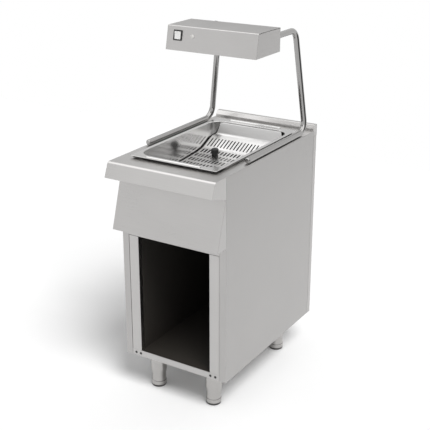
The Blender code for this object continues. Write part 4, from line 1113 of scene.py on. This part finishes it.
def ramped(tree, value, low, high, top=1.0):
    """Zero below low, rising smoothly to the top value at high."""
    ranged = tree.nodes.new("ShaderNodeMapRange")
    ranged.interpolation_type = "SMOOTHSTEP"
    ranged.inputs["From Min"].default_value = low
    ranged.inputs["From Max"].default_value = high
    ranged.inputs["To Max"].default_value = top
    tree.links.new(value, ranged.inputs["Value"])
    return ranged.outputs["Result"]


def calculated(tree, operation, *values):
    """Chain a two-value operation over outputs and numbers."""
    total = values[0]
    for value in values[1:]:
        node = tree.nodes.new("ShaderNodeMath")
        node.operation = operation
        for socket, entry in zip(node.inputs, (total, value)):
            if isinstance(entry, float):
                socket.default_value = entry
            else:
                tree.links.new(entry, socket)
        total = node.outputs["Value"]
    return total


def background(tree, strength):
    node = tree.nodes.new("ShaderNodeBackground")
    node.inputs["Color"].default_value = (1.0, 1.0, 1.0, 1.0)
    node.inputs["Strength"].default_value = strength
    return node


def mixed(tree, share, first, second):
    node = tree.nodes.new("ShaderNodeMixShader")
    tree.links.new(share, node.inputs["Fac"])
    tree.links.new(first, node.inputs[1])
    tree.links.new(second, node.inputs[2])
    return node.outputs["Shader"]


def build_world():
    """White surroundings. The metal also reflects a bright ceiling, a dark flag on the right and a
    grey one at the back on the left."""
    world = bpy.data.worlds.new("studio")
    bpy.context.scene.world = world
    world.use_nodes = True
    tree = world.node_tree
    tree.nodes.clear()
    direction = tree.nodes.new("ShaderNodeTexCoord")
    parts = tree.nodes.new("ShaderNodeSeparateXYZ")
    tree.links.new(direction.outputs["Generated"], parts.inputs["Vector"])
    along = calculated(tree, "ADD", calculated(tree, "MULTIPLY", parts.outputs["X"], FLAG_AXIS[0]),
                       calculated(tree, "MULTIPLY", parts.outputs["Y"], FLAG_AXIS[1]))
    right = ramped(tree, along, *RIGHT_FLAG)
    overhead = ramped(tree, parts.outputs["Z"], *OVERHEAD)
    left = ramped(tree, calculated(tree, "MULTIPLY", parts.outputs["X"], -1.0), *REAR_FLAG)
    rear = ramped(tree, parts.outputs["Y"], *REAR_SIDE)
    high = ramped(tree, parts.outputs["Z"], *REAR_HORIZON)
    flags = calculated(tree, "ADD", right, calculated(tree, "MULTIPLY", left, rear,
                                                      calculated(tree, "SUBTRACT", 1.0, high)))
    reflected = background(tree, 1.0)
    lit = calculated(tree, "ADD", 1.0, overhead)
    tree.links.new(calculated(tree, "SUBTRACT", lit, flags), reflected.inputs["Strength"])
    rays = tree.nodes.new("ShaderNodeLightPath")
    shader = mixed(tree, rays.outputs["Is Glossy Ray"], background(tree, AMBIENT).outputs["Background"],
                   reflected.outputs["Background"])
    plain = calculated(tree, "MAXIMUM", rays.outputs["Is Camera Ray"], rays.outputs["Is Transmission Ray"])
    shader = mixed(tree, plain, shader, background(tree, 1.0).outputs["Background"])
    output = tree.nodes.new("ShaderNodeOutputWorld")
    tree.links.new(shader, output.inputs["Surface"])


def build_sun(name, towards, strength, spread_angle):
    """A soft distant lamp. It shines from the given direction, and the metal doesn't mirror it."""
    light = bpy.data.lights.new(name, "SUN")
    light.energy = strength
    light.angle = math.radians(spread_angle)
    obj = bpy.data.objects.new(name, light)
    bpy.context.scene.collection.objects.link(obj)
    obj.rotation_euler = Vector(towards).to_track_quat("Z", "Y").to_euler()
    obj.visible_glossy = False


def build_camera():
    """Camera at the photograph's viewpoint."""
    camera = bpy.data.cameras.new("camera")
    camera.sensor_width = CAMERA_SENSOR
    camera.lens = CAMERA_LENS
    camera.shift_x, camera.shift_y = CAMERA_SHIFT
    obj = bpy.data.objects.new("camera", camera)
    bpy.context.scene.collection.objects.link(obj)
    turn = (Matrix.Rotation(CAMERA_AZIMUTH, 4, "Z")
            @ Matrix.Rotation(math.pi / 2 - CAMERA_PITCH, 4, "X"))
    obj.matrix_world = (Matrix.Translation(CAMERA_PLACE) @ turn
                        @ Matrix.Rotation(-CAMERA_ROLL, 4, "Z"))
    bpy.context.scene.camera = obj


build_floor()
build_world()
build_sun("key", SUN_TOWARDS, SUN_STRENGTH, SUN_ANGLE)
build_camera()
bpy.context.scene.view_settings.view_transform = "Standard"
